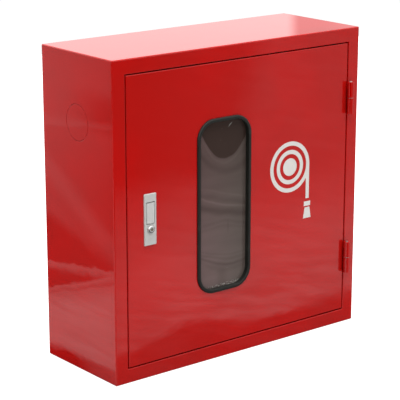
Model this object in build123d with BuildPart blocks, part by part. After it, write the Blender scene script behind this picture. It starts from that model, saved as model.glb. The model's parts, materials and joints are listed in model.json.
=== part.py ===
from build123d import *

import os
from math import cos, pi, radians, sin

# Fire hose cabinet: a glazed steel wall cabinet with a rolled lay-flat hose, its rack, valve and nozzle.
#
# Millimetres, +Z up. The origin is the centre of the four wall holes, on the wall side of the back panel.
# The door faces -Y, so a depth of d in front of the wall is y = -d. Angles are in degrees.

os.makedirs("parts", exist_ok=True)

# ---------------------------------------------------------------- driving dimensions
# Cabinet and door
WIDTH, HEIGHT, DEPTH = 650, 660, 240
SHEET = 1.5
OUTER_RADIUS = 2.5
FRAME_BORDER, FRAME_RIM = 30, 12
LIP_DEPTH = 18
STOP_WIDTH, NOTCH_DEPTH, NOTCH_MARGIN = 12, 8, 2.5
DOOR_GAP = 2.5
DOOR_DEPTH = 16
DOOR_RETURN = 10
BUFFER_THICKNESS = LIP_DEPTH - DOOR_DEPTH
BUFFER_RADIUS, BUFFER_INSET = 4.5, 60
PAN_FLANGE = 12
WALL_HOLE_SPACING_X, WALL_HOLE_SPACING_Z, WALL_HOLE_RADIUS = 540, 560, 5.25
KNOCKOUT_RADIUS, KNOCKOUT_SLIT, KNOCKOUT_TAB = 37.5, 0.8, 4
PIPE_Z, PIPE_DEPTH = 190, 120

OPENING_WIDTH = WIDTH - 2 * FRAME_BORDER
OPENING_HEIGHT = HEIGHT - 2 * FRAME_BORDER
DOOR_WIDTH = OPENING_WIDTH - 2 * DOOR_GAP
DOOR_HEIGHT = OPENING_HEIGHT - 2 * DOOR_GAP
DOOR_BACK = DEPTH - DOOR_DEPTH
FRAME_BACK = DEPTH - FRAME_RIM

# Window in the door
WINDOW_X, WINDOW_Z = -48, 0
WINDOW_WIDTH, WINDOW_HEIGHT, WINDOW_RADIUS = 141, 368, 42
BEAD_WIDTH, BEAD_PROUD = 7.5, 4
BEAD_NOSE_ROUND, BEAD_BACK_ROUND = 2.6, 1.2
GASKET_DEPTH, GASKET_BACK_INSET, NECK_INSET = 12, 0.5, 5
PANE_THICKNESS, PANE_SETBACK, GROOVE_INSET, PANE_INSET = 3, 6, 3.5, 3.7

# Lift-off hinges
HINGE_X, HINGE_DEPTH = 296.5, 247.5
HINGE_HEIGHTS = (180, -177)
BARREL_RADIUS, BARREL_LENGTH, PIN_RADIUS = 7, 70, 3.5
HINGE_WASHER = 1
LEG_THICKNESS, LEG_DEPTH, LEG_LENGTH, LEG_START = 2, 19.5, 17, 4
WEB_THICKNESS, WEB_START, PIN_SOCKET = 4, 3, 4

# Push-button flap lock
LOCK_X, LOCK_Z = -238, 3
PLATE_WIDTH, PLATE_HEIGHT, PLATE_THICKNESS = 30, 106, 3
CASE_WIDTH, CASE_HEIGHT, CASE_BACK, CASE_WALL, CASE_PLAY = 24, 98, 208.5, 1.5, 0.3
FLAP_WIDTH, FLAP_HEIGHT, FLAP_THICKNESS, FLAP_Z, FLAP_GAP = 19, 42.4, 3, 12.8, 1.1
FLAP_PIN_RADIUS, FLAP_PIN_DEPTH, FLAP_KNUCKLE_RADIUS = 1, 241.4, 1.9
FINGER_SIZE, FINGER_BACK, FINGER_Z = 5, 221, 26.5
CAVITY_TOP, CAVITY_FRONT = 38, 236
BUTTON_Z, BUTTON_RADIUS, BUTTON_PLAY, BUTTON_BACK = -19.6, 8.25, 0.25, 239.5
BUTTON_STEM_RADIUS, BUTTON_STEM_BACK, BUTTON_SEAT = 4, 214, 230
KEY_RADIUS, KEY_BACK, KEY_FRONT = 3.2, 228.5, 247.3
BOLT_TIP_X, BOLT_BACK, BOLT_THICKNESS, BOLT_HEIGHT, BOLT_PLAY = -289, 211, 8, 14, 0.3
RAMP_LENGTH, RAMP_RISE = 8, 3
CLAMP_SHEET, CLAMP_WIDTH, CLAMP_SPAN = 2, 12, 44
LOCK_SCREW_RADIUS, LOCK_SCREW_LENGTH, LOCK_SCREW_HEAD_RADIUS, LOCK_SCREW_HEAD = 2, 14, 3.8, 2.6

# Rolled hose on its rack
REEL_X, REEL_Z, REEL_DEPTH = 27, -45, 120
HOSE_WIDTH, HOSE_THICKNESS = 65, 4.4
ROLL_RADIUS, HUB_RADIUS = 170, 30
FLANGE_RADIUS, FLANGE_THICKNESS, FLANGE_RIM = 176, 2.5, 18
SPOKES, SPOKE_WIDTH, SPOKE_BOSS_RADIUS, SPOKE_FILLET = 6, 22, 48, 7
AXLE_RADIUS, AXLE_END_RADIUS, AXLE_END_LENGTH = 10, 8, 18
BUSH_RADIUS, BUSH_LENGTH, BUSH_FLANGE_RADIUS = 14, 14, 17
RACK_PLATE, RACK_PLATE_SIZE, RACK_PLATE_CORNER = 3, 110, 12
RACK_STUD_SPACING, RACK_STUD_RADIUS, RACK_STUD_LENGTH, RACK_STUD_PLAY = 84, 3, 12, 0.3
SOCKET_RADIUS, GUSSET_SHEET = 17, 4
HOSE_ROUND_RADIUS, SHANK_RADIUS = 22.5, 20
TANGENT_GAP = 0.8

# Angle valve, couplings and nozzle
VALVE_X = REEL_X + ROLL_RADIUS + TANGENT_GAP + HOSE_THICKNESS / 2
VALVE_INLET_X, VALVE_OUTLET_Z = VALVE_X + 52, PIPE_Z - 60
THREAD_BORE_RADIUS, THREAD_LENGTH = 22.4, 20
SEAT_X, STEM_RADIUS = VALVE_X + 22, 6
OUTLET_RADIUS = 25
WHEEL_RADIUS, WHEEL_X = 42, VALVE_X - 102
NOZZLE_Z = REEL_Z - ROLL_RADIUS - TANGENT_GAP - HOSE_THICKNESS / 2
NOZZLE_START_X = REEL_X + 85
RUNNING = 0.05
STANDING = (Align.CENTER, Align.CENTER, Align.MIN)


def facing(depth):
    """A plane parallel to the wall, that far in front of it. Its x is +X, its y is +Z, and it faces -Y."""
    return Plane.XZ.offset(depth)


def across(x):
    """A plane across the cabinet at x. Its x is +Y, its y is +Z, and it faces +X."""
    return Plane.YZ.offset(x)


def rod(plane, start, end, radius, mode=Mode.ADD):
    """A round bar on the plane's axis, between two distances from its origin."""
    with Locations(plane.offset(start)):
        Cylinder(radius, end - start, align=STANDING, mode=mode)


def save(piece, name):
    """Labels a finished piece and writes it as parts/NAME.step."""
    piece.part.label = name
    export_step(piece.part, f"parts/{name}.step")


def coil(radius, wire, turns, length):
    """A coil spring standing on +Z from the origin, with its wire inside the stated length."""
    pitch = (length - 2 * wire) / turns
    with BuildPart(mode=Mode.PRIVATE) as spring:
        with BuildLine():
            Helix(pitch, length - 2 * wire, radius, center=(0, 0, wire))
        with BuildSketch(Plane(origin=(radius, 0, wire), z_dir=(0, 1, pitch / (2 * pi * radius)))):
            Circle(wire / 2)
        sweep(is_frenet=True)
    return spring.part


# ================================================================ cabinet

# Four walls, folded from one strip of sheet and welded at a corner.
with BuildPart() as cabinet_shell:
    with BuildSketch(facing(0)):
        RectangleRounded(WIDTH, HEIGHT, OUTER_RADIUS)
        Rectangle(WIDTH - 2 * SHEET, HEIGHT - 2 * SHEET, mode=Mode.SUBTRACT)
    extrude(amount=FRAME_BACK)
    # Knock-out blank in the left wall: a slit ring held by four tabs
    with BuildSketch(across(-WIDTH / 2)):
        with Locations((-PIPE_DEPTH, PIPE_Z)):
            Circle(KNOCKOUT_RADIUS)
            Circle(KNOCKOUT_RADIUS - KNOCKOUT_SLIT, mode=Mode.SUBTRACT)
            for angle in (45, 135):
                Rectangle(2 * KNOCKOUT_RADIUS + 1, KNOCKOUT_TAB, rotation=angle, mode=Mode.SUBTRACT)
    extrude(amount=SHEET, mode=Mode.SUBTRACT)
    # Pipe entry in the right wall, its blank knocked out
    with BuildSketch(across(WIDTH / 2 - SHEET)):
        with Locations((-PIPE_DEPTH, PIPE_Z)):
            Circle(KNOCKOUT_RADIUS)
    extrude(amount=SHEET, mode=Mode.SUBTRACT)
save(cabinet_shell, "cabinet_shell")

# Front frame: a rim welded to the walls, a flat border, and a lip folded back around the door opening.
with BuildPart() as front_frame:
    with BuildSketch(facing(FRAME_BACK)):
        RectangleRounded(WIDTH, HEIGHT, OUTER_RADIUS)
    extrude(amount=FRAME_RIM)
    fillet(front_frame.edges().group_by(Axis.Y)[0], radius=OUTER_RADIUS)
    with BuildSketch(facing(FRAME_BACK)):
        Rectangle(WIDTH - 2 * SHEET, HEIGHT - 2 * SHEET)
    extrude(amount=FRAME_RIM - SHEET, mode=Mode.SUBTRACT)
    with BuildSketch(facing(DEPTH - LIP_DEPTH)):
        Rectangle(OPENING_WIDTH + 2 * SHEET, OPENING_HEIGHT + 2 * SHEET)
    extrude(amount=LIP_DEPTH - SHEET)
    with BuildSketch(facing(DEPTH - LIP_DEPTH)):
        Rectangle(OPENING_WIDTH, OPENING_HEIGHT)
    extrude(amount=LIP_DEPTH, mode=Mode.SUBTRACT)
    opening_edges = [
        e
        for e in front_frame.edges().group_by(Axis.Y)[0]
        if abs(e.length - OPENING_WIDTH) < 0.1 or abs(e.length - OPENING_HEIGHT) < 0.1
    ]
    fillet(opening_edges, radius=SHEET * 0.8)
save(front_frame, "front_frame")

# Door stop: four flat strips, welded behind the lip, that the door closes against.
with BuildPart() as door_stop:
    with BuildSketch(facing(DEPTH - LIP_DEPTH - SHEET)):
        Rectangle(OPENING_WIDTH + 2 * SHEET, OPENING_HEIGHT + 2 * SHEET)
        Rectangle(OPENING_WIDTH - 2 * STOP_WIDTH, OPENING_HEIGHT - 2 * STOP_WIDTH, mode=Mode.SUBTRACT)
        # The latch tongue's notch, on the lock side
        with Locations((-OPENING_WIDTH / 2 + STOP_WIDTH, LOCK_Z)):
            Rectangle(2 * NOTCH_DEPTH, BOLT_HEIGHT + 2 * NOTCH_MARGIN, mode=Mode.SUBTRACT)
    extrude(amount=SHEET)
save(door_stop, "door_stop")

# Back panel: a shallow pan whose flanges are welded to the walls, with four studs for the rack.
with BuildPart() as back_panel:
    with BuildSketch(facing(0)):
        Rectangle(WIDTH - 2 * SHEET, HEIGHT - 2 * SHEET)
        with GridLocations(WALL_HOLE_SPACING_X, WALL_HOLE_SPACING_Z, 2, 2):
            Circle(WALL_HOLE_RADIUS, mode=Mode.SUBTRACT)
    extrude(amount=SHEET)
    with BuildSketch(facing(SHEET)):
        Rectangle(WIDTH - 2 * SHEET, HEIGHT - 2 * SHEET)
        Rectangle(WIDTH - 4 * SHEET, HEIGHT - 4 * SHEET, mode=Mode.SUBTRACT)
    extrude(amount=PAN_FLANGE)
    # Weld studs for the rack
    with BuildSketch(facing(SHEET)):
        with Locations((REEL_X, REEL_Z)), GridLocations(RACK_STUD_SPACING, RACK_STUD_SPACING, 2, 2):
            Circle(RACK_STUD_RADIUS)
    extrude(amount=RACK_STUD_LENGTH)
save(back_panel, "back_panel")

# Rubber buffers on the stop, that the closed door rests on.
with BuildPart() as door_buffers:
    buffer_x = OPENING_WIDTH / 2 - STOP_WIDTH / 2
    with BuildSketch(facing(DEPTH - LIP_DEPTH)):
        with GridLocations(2 * buffer_x, OPENING_HEIGHT - 2 * BUFFER_INSET, 2, 2):
            Circle(BUFFER_RADIUS)
    extrude(amount=BUFFER_THICKNESS)
save(door_buffers, "door_buffers")

# ================================================================ door

def window_outline(inset):
    """The window's rounded outline, that far inside the gasket's outer edge."""
    with Locations((WINDOW_X, WINDOW_Z)):
        RectangleRounded(WINDOW_WIDTH - 2 * inset, WINDOW_HEIGHT - 2 * inset, WINDOW_RADIUS - inset)


# Door panel: a pan with rounded front edges, a return flange, and cut-outs for the window and the lock.
with BuildPart() as door_panel:
    with BuildSketch(facing(DOOR_BACK)):
        Rectangle(DOOR_WIDTH, DOOR_HEIGHT)
    extrude(amount=DOOR_DEPTH)
    front_edges = door_panel.edges().group_by(Axis.Y)[0]
    fillet(front_edges + door_panel.edges().filter_by(Axis.Y), radius=SHEET)
    with BuildSketch(facing(DOOR_BACK + SHEET)):
        Rectangle(DOOR_WIDTH - 2 * SHEET, DOOR_HEIGHT - 2 * SHEET)
    extrude(amount=DOOR_DEPTH - 2 * SHEET, mode=Mode.SUBTRACT)
    with BuildSketch(facing(DOOR_BACK)):
        Rectangle(DOOR_WIDTH - 2 * DOOR_RETURN, DOOR_HEIGHT - 2 * DOOR_RETURN)
    extrude(amount=SHEET, mode=Mode.SUBTRACT)
    with BuildSketch(facing(DEPTH - SHEET)):
        window_outline(NECK_INSET)
        with Locations((LOCK_X, LOCK_Z)):
            Rectangle(CASE_WIDTH + 2 * CASE_PLAY, CASE_HEIGHT + 2 * CASE_PLAY)
    extrude(amount=SHEET, mode=Mode.SUBTRACT)
save(door_panel, "door_panel")

# Rubber gasket: a round bead in front, a neck in the door's cut-out, and a groove for the pane behind.
with BuildPart() as window_gasket:
    with BuildSketch(facing(DEPTH)):
        window_outline(0)
    extrude(amount=BEAD_PROUD)
    fillet(window_gasket.edges().group_by(Axis.Y)[0], radius=BEAD_NOSE_ROUND)
    with BuildSketch(facing(DEPTH - SHEET)):
        window_outline(NECK_INSET)
    extrude(amount=SHEET)
    with BuildSketch(facing(DEPTH - GASKET_DEPTH)):
        window_outline(GASKET_BACK_INSET)
    extrude(amount=GASKET_DEPTH - SHEET)
    with BuildSketch(facing(DEPTH - GASKET_DEPTH)):
        window_outline(BEAD_WIDTH)
    extrude(amount=GASKET_DEPTH + BEAD_PROUD, mode=Mode.SUBTRACT)
    fillet(window_gasket.edges().group_by(Axis.Y)[0], radius=BEAD_BACK_ROUND)
    with BuildSketch(facing(DEPTH - PANE_SETBACK - PANE_THICKNESS)):
        window_outline(GROOVE_INSET)
    extrude(amount=PANE_THICKNESS, mode=Mode.SUBTRACT)
save(window_gasket, "window_gasket")

# Tinted acrylic pane.
with BuildPart() as window_pane:
    with BuildSketch(facing(DEPTH - PANE_SETBACK - PANE_THICKNESS)):
        window_outline(PANE_INSET)
    extrude(amount=PANE_THICKNESS)
save(window_pane, "window_pane")

# Vinyl pictogram of a coiled hose with a hanging nozzle.
SIGN_X, SIGN_Z, SIGN_RADIUS, SIGN_STROKE, SIGN_FILM = 132, 51, 55, 9, 0.2
TAIL_X, TAIL_LENGTH = SIGN_X + SIGN_RADIUS - SIGN_STROKE / 2, 76
COUPLING_SIGN_Z, COUPLING_SIGN_WIDTH, COUPLING_SIGN_HEIGHT = SIGN_Z - 88, 18, 10
NOZZLE_SIGN_Z, NOZZLE_SIGN_WIDTH, NOZZLE_SIGN_HEIGHT, NOZZLE_SIGN_SLANT = SIGN_Z - 108, 22, 24, 80
with BuildPart() as door_pictogram:
    with BuildSketch(facing(DEPTH)):
        with Locations((SIGN_X, SIGN_Z)):
            for ring in range(2):
                ring_radius = SIGN_RADIUS - ring * 2 * SIGN_STROKE
                Circle(ring_radius)
                Circle(ring_radius - SIGN_STROKE, mode=Mode.SUBTRACT)
            Circle(SIGN_RADIUS - 4 * SIGN_STROKE)
        with Locations((TAIL_X, SIGN_Z - TAIL_LENGTH / 2)):
            Rectangle(SIGN_STROKE, TAIL_LENGTH)
        with Locations((TAIL_X, COUPLING_SIGN_Z)):
            Rectangle(COUPLING_SIGN_WIDTH, COUPLING_SIGN_HEIGHT)
        with Locations((TAIL_X, NOZZLE_SIGN_Z)):
            Trapezoid(NOZZLE_SIGN_WIDTH, NOZZLE_SIGN_HEIGHT, NOZZLE_SIGN_SLANT)
    extrude(amount=SIGN_FILM)
save(door_pictogram, "door_pictogram")

# ================================================================ hinges
BARREL_HALF = BARREL_LENGTH / 2
LEG_FROM_PIN = DOOR_WIDTH / 2 - HINGE_X


def at_hinges():
    """The two pin axes, each at the middle of its barrel."""
    return Locations(*[(HINGE_X, -HINGE_DEPTH, hinge_z) for hinge_z in HINGE_HEIGHTS])


# Upper knuckle, with a leg that is welded to the edge of the door.
with BuildPart(mode=Mode.PRIVATE) as upper_knuckle:
    with BuildSketch(Plane.XY.offset(HINGE_WASHER / 2)):
        Circle(BARREL_RADIUS)
    extrude(amount=BARREL_HALF - HINGE_WASHER / 2)
    chamfer(upper_knuckle.edges().group_by(Axis.Z)[-1], length=0.6)
    with BuildSketch(Plane.XY.offset(BARREL_HALF - LEG_LENGTH - 1)):
        with Locations((LEG_FROM_PIN, LEG_START)):
            Rectangle(LEG_THICKNESS, LEG_DEPTH, align=(Align.MIN, Align.MIN))
    extrude(amount=LEG_LENGTH)
    with BuildSketch(Plane.XY):
        Circle(PIN_RADIUS + RUNNING)
    extrude(amount=BARREL_HALF, mode=Mode.SUBTRACT)

with BuildPart() as hinge_door_knuckles:
    with at_hinges():
        add(upper_knuckle.part)
save(hinge_door_knuckles, "hinge_door_knuckles")

# Lower knuckles, with a web that is welded to the face of the frame.
with BuildPart() as hinge_frame_knuckles:
    with at_hinges():
        with Locations((0, 0, -BARREL_HALF)):
            Cylinder(BARREL_RADIUS, BARREL_HALF - HINGE_WASHER / 2, align=STANDING)
        with Locations((WEB_START, HINGE_DEPTH - DEPTH - WEB_THICKNESS / 2, -BARREL_HALF)):
            Box(WEB_THICKNESS, WEB_THICKNESS, BARREL_HALF - HINGE_WASHER / 2, align=STANDING)
        with Locations((0, 0, -BARREL_HALF + PIN_SOCKET)):
            Cylinder(PIN_RADIUS, BARREL_HALF, align=STANDING, mode=Mode.SUBTRACT)
save(hinge_frame_knuckles, "hinge_frame_knuckles")

# Pins pressed into the lower knuckles, their round ends showing at the top.
with BuildPart() as hinge_pins:
    with at_hinges():
        with Locations((0, 0, -BARREL_HALF + PIN_SOCKET)):
            Cylinder(PIN_RADIUS, BARREL_LENGTH + 1 - PIN_SOCKET, align=STANDING)
    fillet(hinge_pins.edges().group_by(Axis.Z)[-1], radius=1.2)
save(hinge_pins, "hinge_pins")

# Washers that the upper knuckles turn on.
with BuildPart() as hinge_washers:
    with at_hinges():
        Cylinder(BARREL_RADIUS - 0.4, HINGE_WASHER)
        Cylinder(PIN_RADIUS + 0.1, HINGE_WASHER, mode=Mode.SUBTRACT)
save(hinge_washers, "hinge_washers")

# ================================================================ flap lock
FLAP_TOP = FLAP_Z + FLAP_HEIGHT / 2
FLAP_PIN_Z = LOCK_Z + FLAP_TOP - 2
CAVITY_HALF = CASE_WIDTH / 2 - CASE_WALL
CAVITY_BOTTOM = FLAP_Z - FLAP_HEIGHT / 2 - FLAP_GAP
WINDOW_TOP = FLAP_TOP + 2
LOCK_SCREW_HEIGHTS = (43.5, -39)
BOLT_END_X = LOCK_X - 1


def at_lock(x, z):
    """A place on a plane parallel to the wall, measured from the centre of the lock's plate."""
    return Locations((LOCK_X + x, LOCK_Z + z))


# Cast body: a bevelled plate in front of the door and a case behind it.
with BuildPart() as lock_body:
    with BuildSketch(facing(DEPTH)):
        with at_lock(0, 0):
            RectangleRounded(PLATE_WIDTH, PLATE_HEIGHT, 2)
    extrude(amount=PLATE_THICKNESS)
    chamfer(lock_body.edges().group_by(Axis.Y)[0], length=1.4)
    with BuildSketch(facing(CASE_BACK)):
        with at_lock(0, 0):
            Rectangle(CASE_WIDTH, CASE_HEIGHT)
    extrude(amount=DEPTH - CASE_BACK)
    # Window for the flap, with room above its hinge, and the cavity for its finger and the bolt
    with BuildSketch(facing(CAVITY_FRONT)):
        with at_lock(0, (CAVITY_BOTTOM + WINDOW_TOP) / 2):
            Rectangle(FLAP_WIDTH + 2 * FLAP_GAP, WINDOW_TOP - CAVITY_BOTTOM)
    extrude(amount=DEPTH + PLATE_THICKNESS - CAVITY_FRONT, mode=Mode.SUBTRACT)
    with BuildSketch(facing(CASE_BACK + CASE_WALL)):
        with at_lock(0, (CAVITY_BOTTOM + CAVITY_TOP) / 2):
            Rectangle(2 * CAVITY_HALF, CAVITY_TOP - CAVITY_BOTTOM)
    extrude(amount=CAVITY_FRONT - CASE_BACK - CASE_WALL, mode=Mode.SUBTRACT)
    with BuildSketch(across(LOCK_X - CASE_WIDTH / 2)):
        with Locations((-FLAP_PIN_DEPTH, FLAP_PIN_Z)):
            Circle(FLAP_PIN_RADIUS)
    extrude(amount=CASE_WIDTH, mode=Mode.SUBTRACT)
    # Button bore, stem bore and screw holes
    with BuildSketch(facing(BUTTON_SEAT)):
        with at_lock(0, BUTTON_Z):
            Circle(BUTTON_RADIUS + BUTTON_PLAY)
    extrude(amount=DEPTH + PLATE_THICKNESS - BUTTON_SEAT, mode=Mode.SUBTRACT)
    with BuildSketch(facing(CASE_BACK)):
        with at_lock(0, BUTTON_Z):
            Circle(BUTTON_STEM_RADIUS + RUNNING)
        for screw_z in LOCK_SCREW_HEIGHTS:
            with at_lock(0, screw_z):
                Circle(LOCK_SCREW_RADIUS)
    extrude(amount=BUTTON_SEAT - CASE_BACK, mode=Mode.SUBTRACT)
    # Slot the bolt slides through
    with BuildSketch(facing(BOLT_BACK - BOLT_PLAY)):
        with at_lock(-(CASE_WIDTH - CASE_WALL) / 2, 0):
            Rectangle(CASE_WALL + 0.01, BOLT_HEIGHT + 2 * BOLT_PLAY)
    extrude(amount=BOLT_THICKNESS + 2 * BOLT_PLAY, mode=Mode.SUBTRACT)
save(lock_body, "lock_body")

# Flap handle: it hangs from the pin at its top, and its finger reaches back to the bolt.
with BuildPart() as lock_flap:
    with BuildSketch(facing(DEPTH + 0.4)):
        with at_lock(0, FLAP_Z):
            RectangleRounded(FLAP_WIDTH, FLAP_HEIGHT, 1)
    extrude(amount=FLAP_THICKNESS)
    fillet(lock_flap.edges().group_by(Axis.Y)[0], radius=0.8)
    with BuildSketch(across(LOCK_X - FLAP_WIDTH / 2)):
        with Locations((-FLAP_PIN_DEPTH, FLAP_PIN_Z)):
            Circle(FLAP_KNUCKLE_RADIUS)
    extrude(amount=FLAP_WIDTH)
    with BuildSketch(facing(FINGER_BACK)):
        with at_lock(0, FINGER_Z):
            Rectangle(FINGER_SIZE, FINGER_SIZE)
    extrude(amount=DEPTH + 1 - FINGER_BACK)
    # Lip for a finger nail, behind the flap's lower edge
    with BuildSketch(facing(237.5)):
        with at_lock(0, FLAP_Z - FLAP_HEIGHT / 2 + 1.2):
            Rectangle(8, 1.6)
    extrude(amount=4)
    with BuildSketch(across(LOCK_X - FLAP_WIDTH / 2)):
        with Locations((-FLAP_PIN_DEPTH, FLAP_PIN_Z)):
            Circle(FLAP_PIN_RADIUS + RUNNING)
    extrude(amount=FLAP_WIDTH, mode=Mode.SUBTRACT)
save(lock_flap, "lock_flap")

# Pin the flap turns on, held in the plate at both ends.
with BuildPart() as flap_pin:
    with BuildSketch(across(LOCK_X - CASE_WIDTH / 2)):
        with Locations((-FLAP_PIN_DEPTH, FLAP_PIN_Z)):
            Circle(FLAP_PIN_RADIUS)
    extrude(amount=CASE_WIDTH)
save(flap_pin, "flap_pin")

# Leaf spring that kicks the flap out when the button frees it.
with BuildPart() as flap_spring:
    with BuildSketch(across(LOCK_X + 5)):
        with BuildLine():
            base_z = LOCK_Z + CAVITY_BOTTOM
            Polyline(
                (-224, base_z),
                (-235, base_z),
                (-240.3, base_z + 11),
                (-239.8, base_z + 11.2),
                (-234.7, base_z + 0.5),
                (-224, base_z + 0.5),
                close=True,
            )
        make_face()
    extrude(amount=4)
save(flap_spring, "flap_spring")

# Latch bolt: a tongue with its closing side bevelled, and a ramp for the flap's finger.
with BuildPart() as latch_bolt:
    with BuildSketch(facing(BOLT_BACK)):
        with Locations(((BOLT_TIP_X + BOLT_END_X) / 2, LOCK_Z)):
            Rectangle(BOLT_END_X - BOLT_TIP_X, BOLT_HEIGHT)
    extrude(amount=BOLT_THICKNESS)
    tip_edge = latch_bolt.edges().filter_by(Axis.Z).sort_by(Axis.X)[:2].sort_by(Axis.Y)[-1]
    chamfer(tip_edge, length=5)
    with BuildSketch(facing(BOLT_BACK)):
        with BuildLine():
            ramp_z = LOCK_Z + BOLT_HEIGHT / 2
            Polyline(
                (BOLT_END_X - RAMP_LENGTH, ramp_z - 1), (BOLT_END_X, ramp_z - 1),
                (BOLT_END_X, ramp_z + RAMP_RISE), (BOLT_END_X - RAMP_LENGTH, ramp_z), close=True,
            )
        make_face()
    extrude(amount=BOLT_THICKNESS + 7)
save(latch_bolt, "latch_bolt")

# Spring between the bolt's end and the case, that pushes the bolt out.
with BuildPart() as latch_spring:
    spring_room = LOCK_X + CAVITY_HALF - BOLT_END_X
    spring_seat = (BOLT_END_X, -BOLT_BACK - BOLT_THICKNESS / 2, LOCK_Z)
    with Locations(Plane(origin=spring_seat, z_dir=(1, 0, 0))):
        add(coil(3, 0.7, 5, spring_room))
save(latch_spring, "latch_spring")

# Chrome push button with a hollow stem.
with BuildPart() as push_button:
    with BuildSketch(facing(BUTTON_BACK)):
        with at_lock(0, BUTTON_Z):
            Circle(BUTTON_RADIUS)
    extrude(amount=8)
    fillet(push_button.edges().group_by(Axis.Y)[0], radius=3.2)
    with BuildSketch(facing(BUTTON_STEM_BACK)):
        with at_lock(0, BUTTON_Z):
            Circle(BUTTON_STEM_RADIUS)
    extrude(amount=BUTTON_BACK + 0.5 - BUTTON_STEM_BACK)
    with BuildSketch(facing(KEY_BACK - 0.5)):
        with at_lock(0, BUTTON_Z):
            Circle(KEY_RADIUS + RUNNING)
    extrude(amount=20, mode=Mode.SUBTRACT)
save(push_button, "push_button")

# Key core in the middle of the button.
with BuildPart() as key_core:
    with BuildSketch(facing(KEY_BACK)):
        with at_lock(0, BUTTON_Z):
            Circle(KEY_RADIUS)
    extrude(amount=KEY_FRONT - KEY_BACK)
    # Keyhole
    with BuildSketch(facing(KEY_FRONT - 6.3)):
        with at_lock(0, BUTTON_Z):
            Rectangle(1.2, 4.4)
            Rectangle(2, 1.6)
    extrude(amount=7, mode=Mode.SUBTRACT)
save(key_core, "key_core")

# Spring behind the button's head.
with BuildPart() as button_spring:
    with Locations(Plane(origin=(LOCK_X, -BUTTON_SEAT, LOCK_Z + BUTTON_Z), z_dir=(0, -1, 0))):
        add(coil(6, 1, 4, BUTTON_BACK - BUTTON_SEAT))
save(button_spring, "button_spring")

# Two straps that clamp the case to the back of the door skin, each with its screw.
with BuildPart() as lock_clamps:
    for screw_z in LOCK_SCREW_HEIGHTS:
        with BuildSketch(facing(CASE_BACK - CLAMP_SHEET)):
            with at_lock(0, screw_z):
                Rectangle(CLAMP_SPAN, CLAMP_WIDTH)
                Circle(LOCK_SCREW_RADIUS + 0.2, mode=Mode.SUBTRACT)
        extrude(amount=CLAMP_SHEET)
        with BuildSketch(facing(CASE_BACK)):
            for side in (-1, 1):
                with at_lock(side * (CLAMP_SPAN - CLAMP_SHEET) / 2, screw_z):
                    Rectangle(CLAMP_SHEET, CLAMP_WIDTH)
        extrude(amount=DEPTH - SHEET - CASE_BACK)
save(lock_clamps, "lock_clamps")

with BuildPart() as lock_screws:
    for screw_z in LOCK_SCREW_HEIGHTS:
        with BuildSketch(facing(CASE_BACK - CLAMP_SHEET)):
            with at_lock(0, screw_z):
                Circle(LOCK_SCREW_RADIUS)
        extrude(amount=LOCK_SCREW_LENGTH)
        with BuildSketch(facing(CASE_BACK - CLAMP_SHEET - LOCK_SCREW_HEAD)):
            with at_lock(0, screw_z):
                Circle(LOCK_SCREW_HEAD_RADIUS)
                Rectangle(5.5, 1, rotation=30, mode=Mode.SUBTRACT)
        extrude(amount=LOCK_SCREW_HEAD)
save(lock_screws, "lock_screws")

# ================================================================ rack and rolled hose
HUB_HALF, HUB_WEB, HUB_DRUM = 36, 4, 3
HUB_BACK = REEL_DEPTH - HUB_HALF
HUB_FRONT = REEL_DEPTH + HUB_HALF
BUSH_FLANGE = 2
END_PLAY = 0.1
SOCKET_END = HUB_BACK - BUSH_FLANGE - END_PLAY
WASHER_START = HUB_FRONT + BUSH_FLANGE + END_PLAY
WASHER_THICKNESS = 2.4
SCREW_CIRCLE, SCREW_RADIUS, SCREW_HEAD_RADIUS = 22.5, 2.5, 4.2
RACK_FACE = SHEET + RACK_PLATE


def at_reel():
    """The reel's centre on a plane parallel to the wall."""
    return Locations((REEL_X, REEL_Z))


def screw_places():
    """The four flange screws around the reel's centre."""
    return PolarLocations(SCREW_CIRCLE, 4, start_angle=30)


# Bracket: a base plate, the axle's socket and four gussets.
with BuildPart() as rack_bracket:
    with BuildSketch(facing(SHEET)):
        with at_reel():
            RectangleRounded(RACK_PLATE_SIZE, RACK_PLATE_SIZE, RACK_PLATE_CORNER)
            with GridLocations(RACK_STUD_SPACING, RACK_STUD_SPACING, 2, 2):
                Circle(RACK_STUD_RADIUS + RACK_STUD_PLAY, mode=Mode.SUBTRACT)
    extrude(amount=RACK_PLATE)
    with BuildSketch(facing(RACK_FACE)):
        with at_reel():
            Circle(SOCKET_RADIUS)
    extrude(amount=SOCKET_END - RACK_FACE)
    for angle in range(0, 360, 90):
        outward = Vector(cos(radians(angle)), 0, sin(radians(angle)))
        gusset_plane = Plane(
            origin=(REEL_X, 0, REEL_Z), x_dir=outward, z_dir=outward.cross(Vector(0, -1, 0))
        )
        with BuildSketch(gusset_plane):
            with BuildLine():
                Polyline((15, 4), (50, 4), (50, 10), (17, 50), (15, 50), close=True)
            make_face()
        extrude(amount=GUSSET_SHEET / 2, both=True)
    with BuildSketch(facing(RACK_FACE)):
        with at_reel():
            Circle(AXLE_RADIUS)
    extrude(amount=SOCKET_END, mode=Mode.SUBTRACT)
save(rack_bracket, "rack_bracket")

# Nuts on the back panel's studs.
with BuildPart() as rack_nuts:
    with BuildSketch(facing(RACK_FACE)):
        with at_reel(), GridLocations(RACK_STUD_SPACING, RACK_STUD_SPACING, 2, 2):
            RegularPolygon(5, 6, major_radius=False)
            Circle(RACK_STUD_RADIUS, mode=Mode.SUBTRACT)
    extrude(amount=5)
save(rack_nuts, "rack_nuts")

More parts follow.
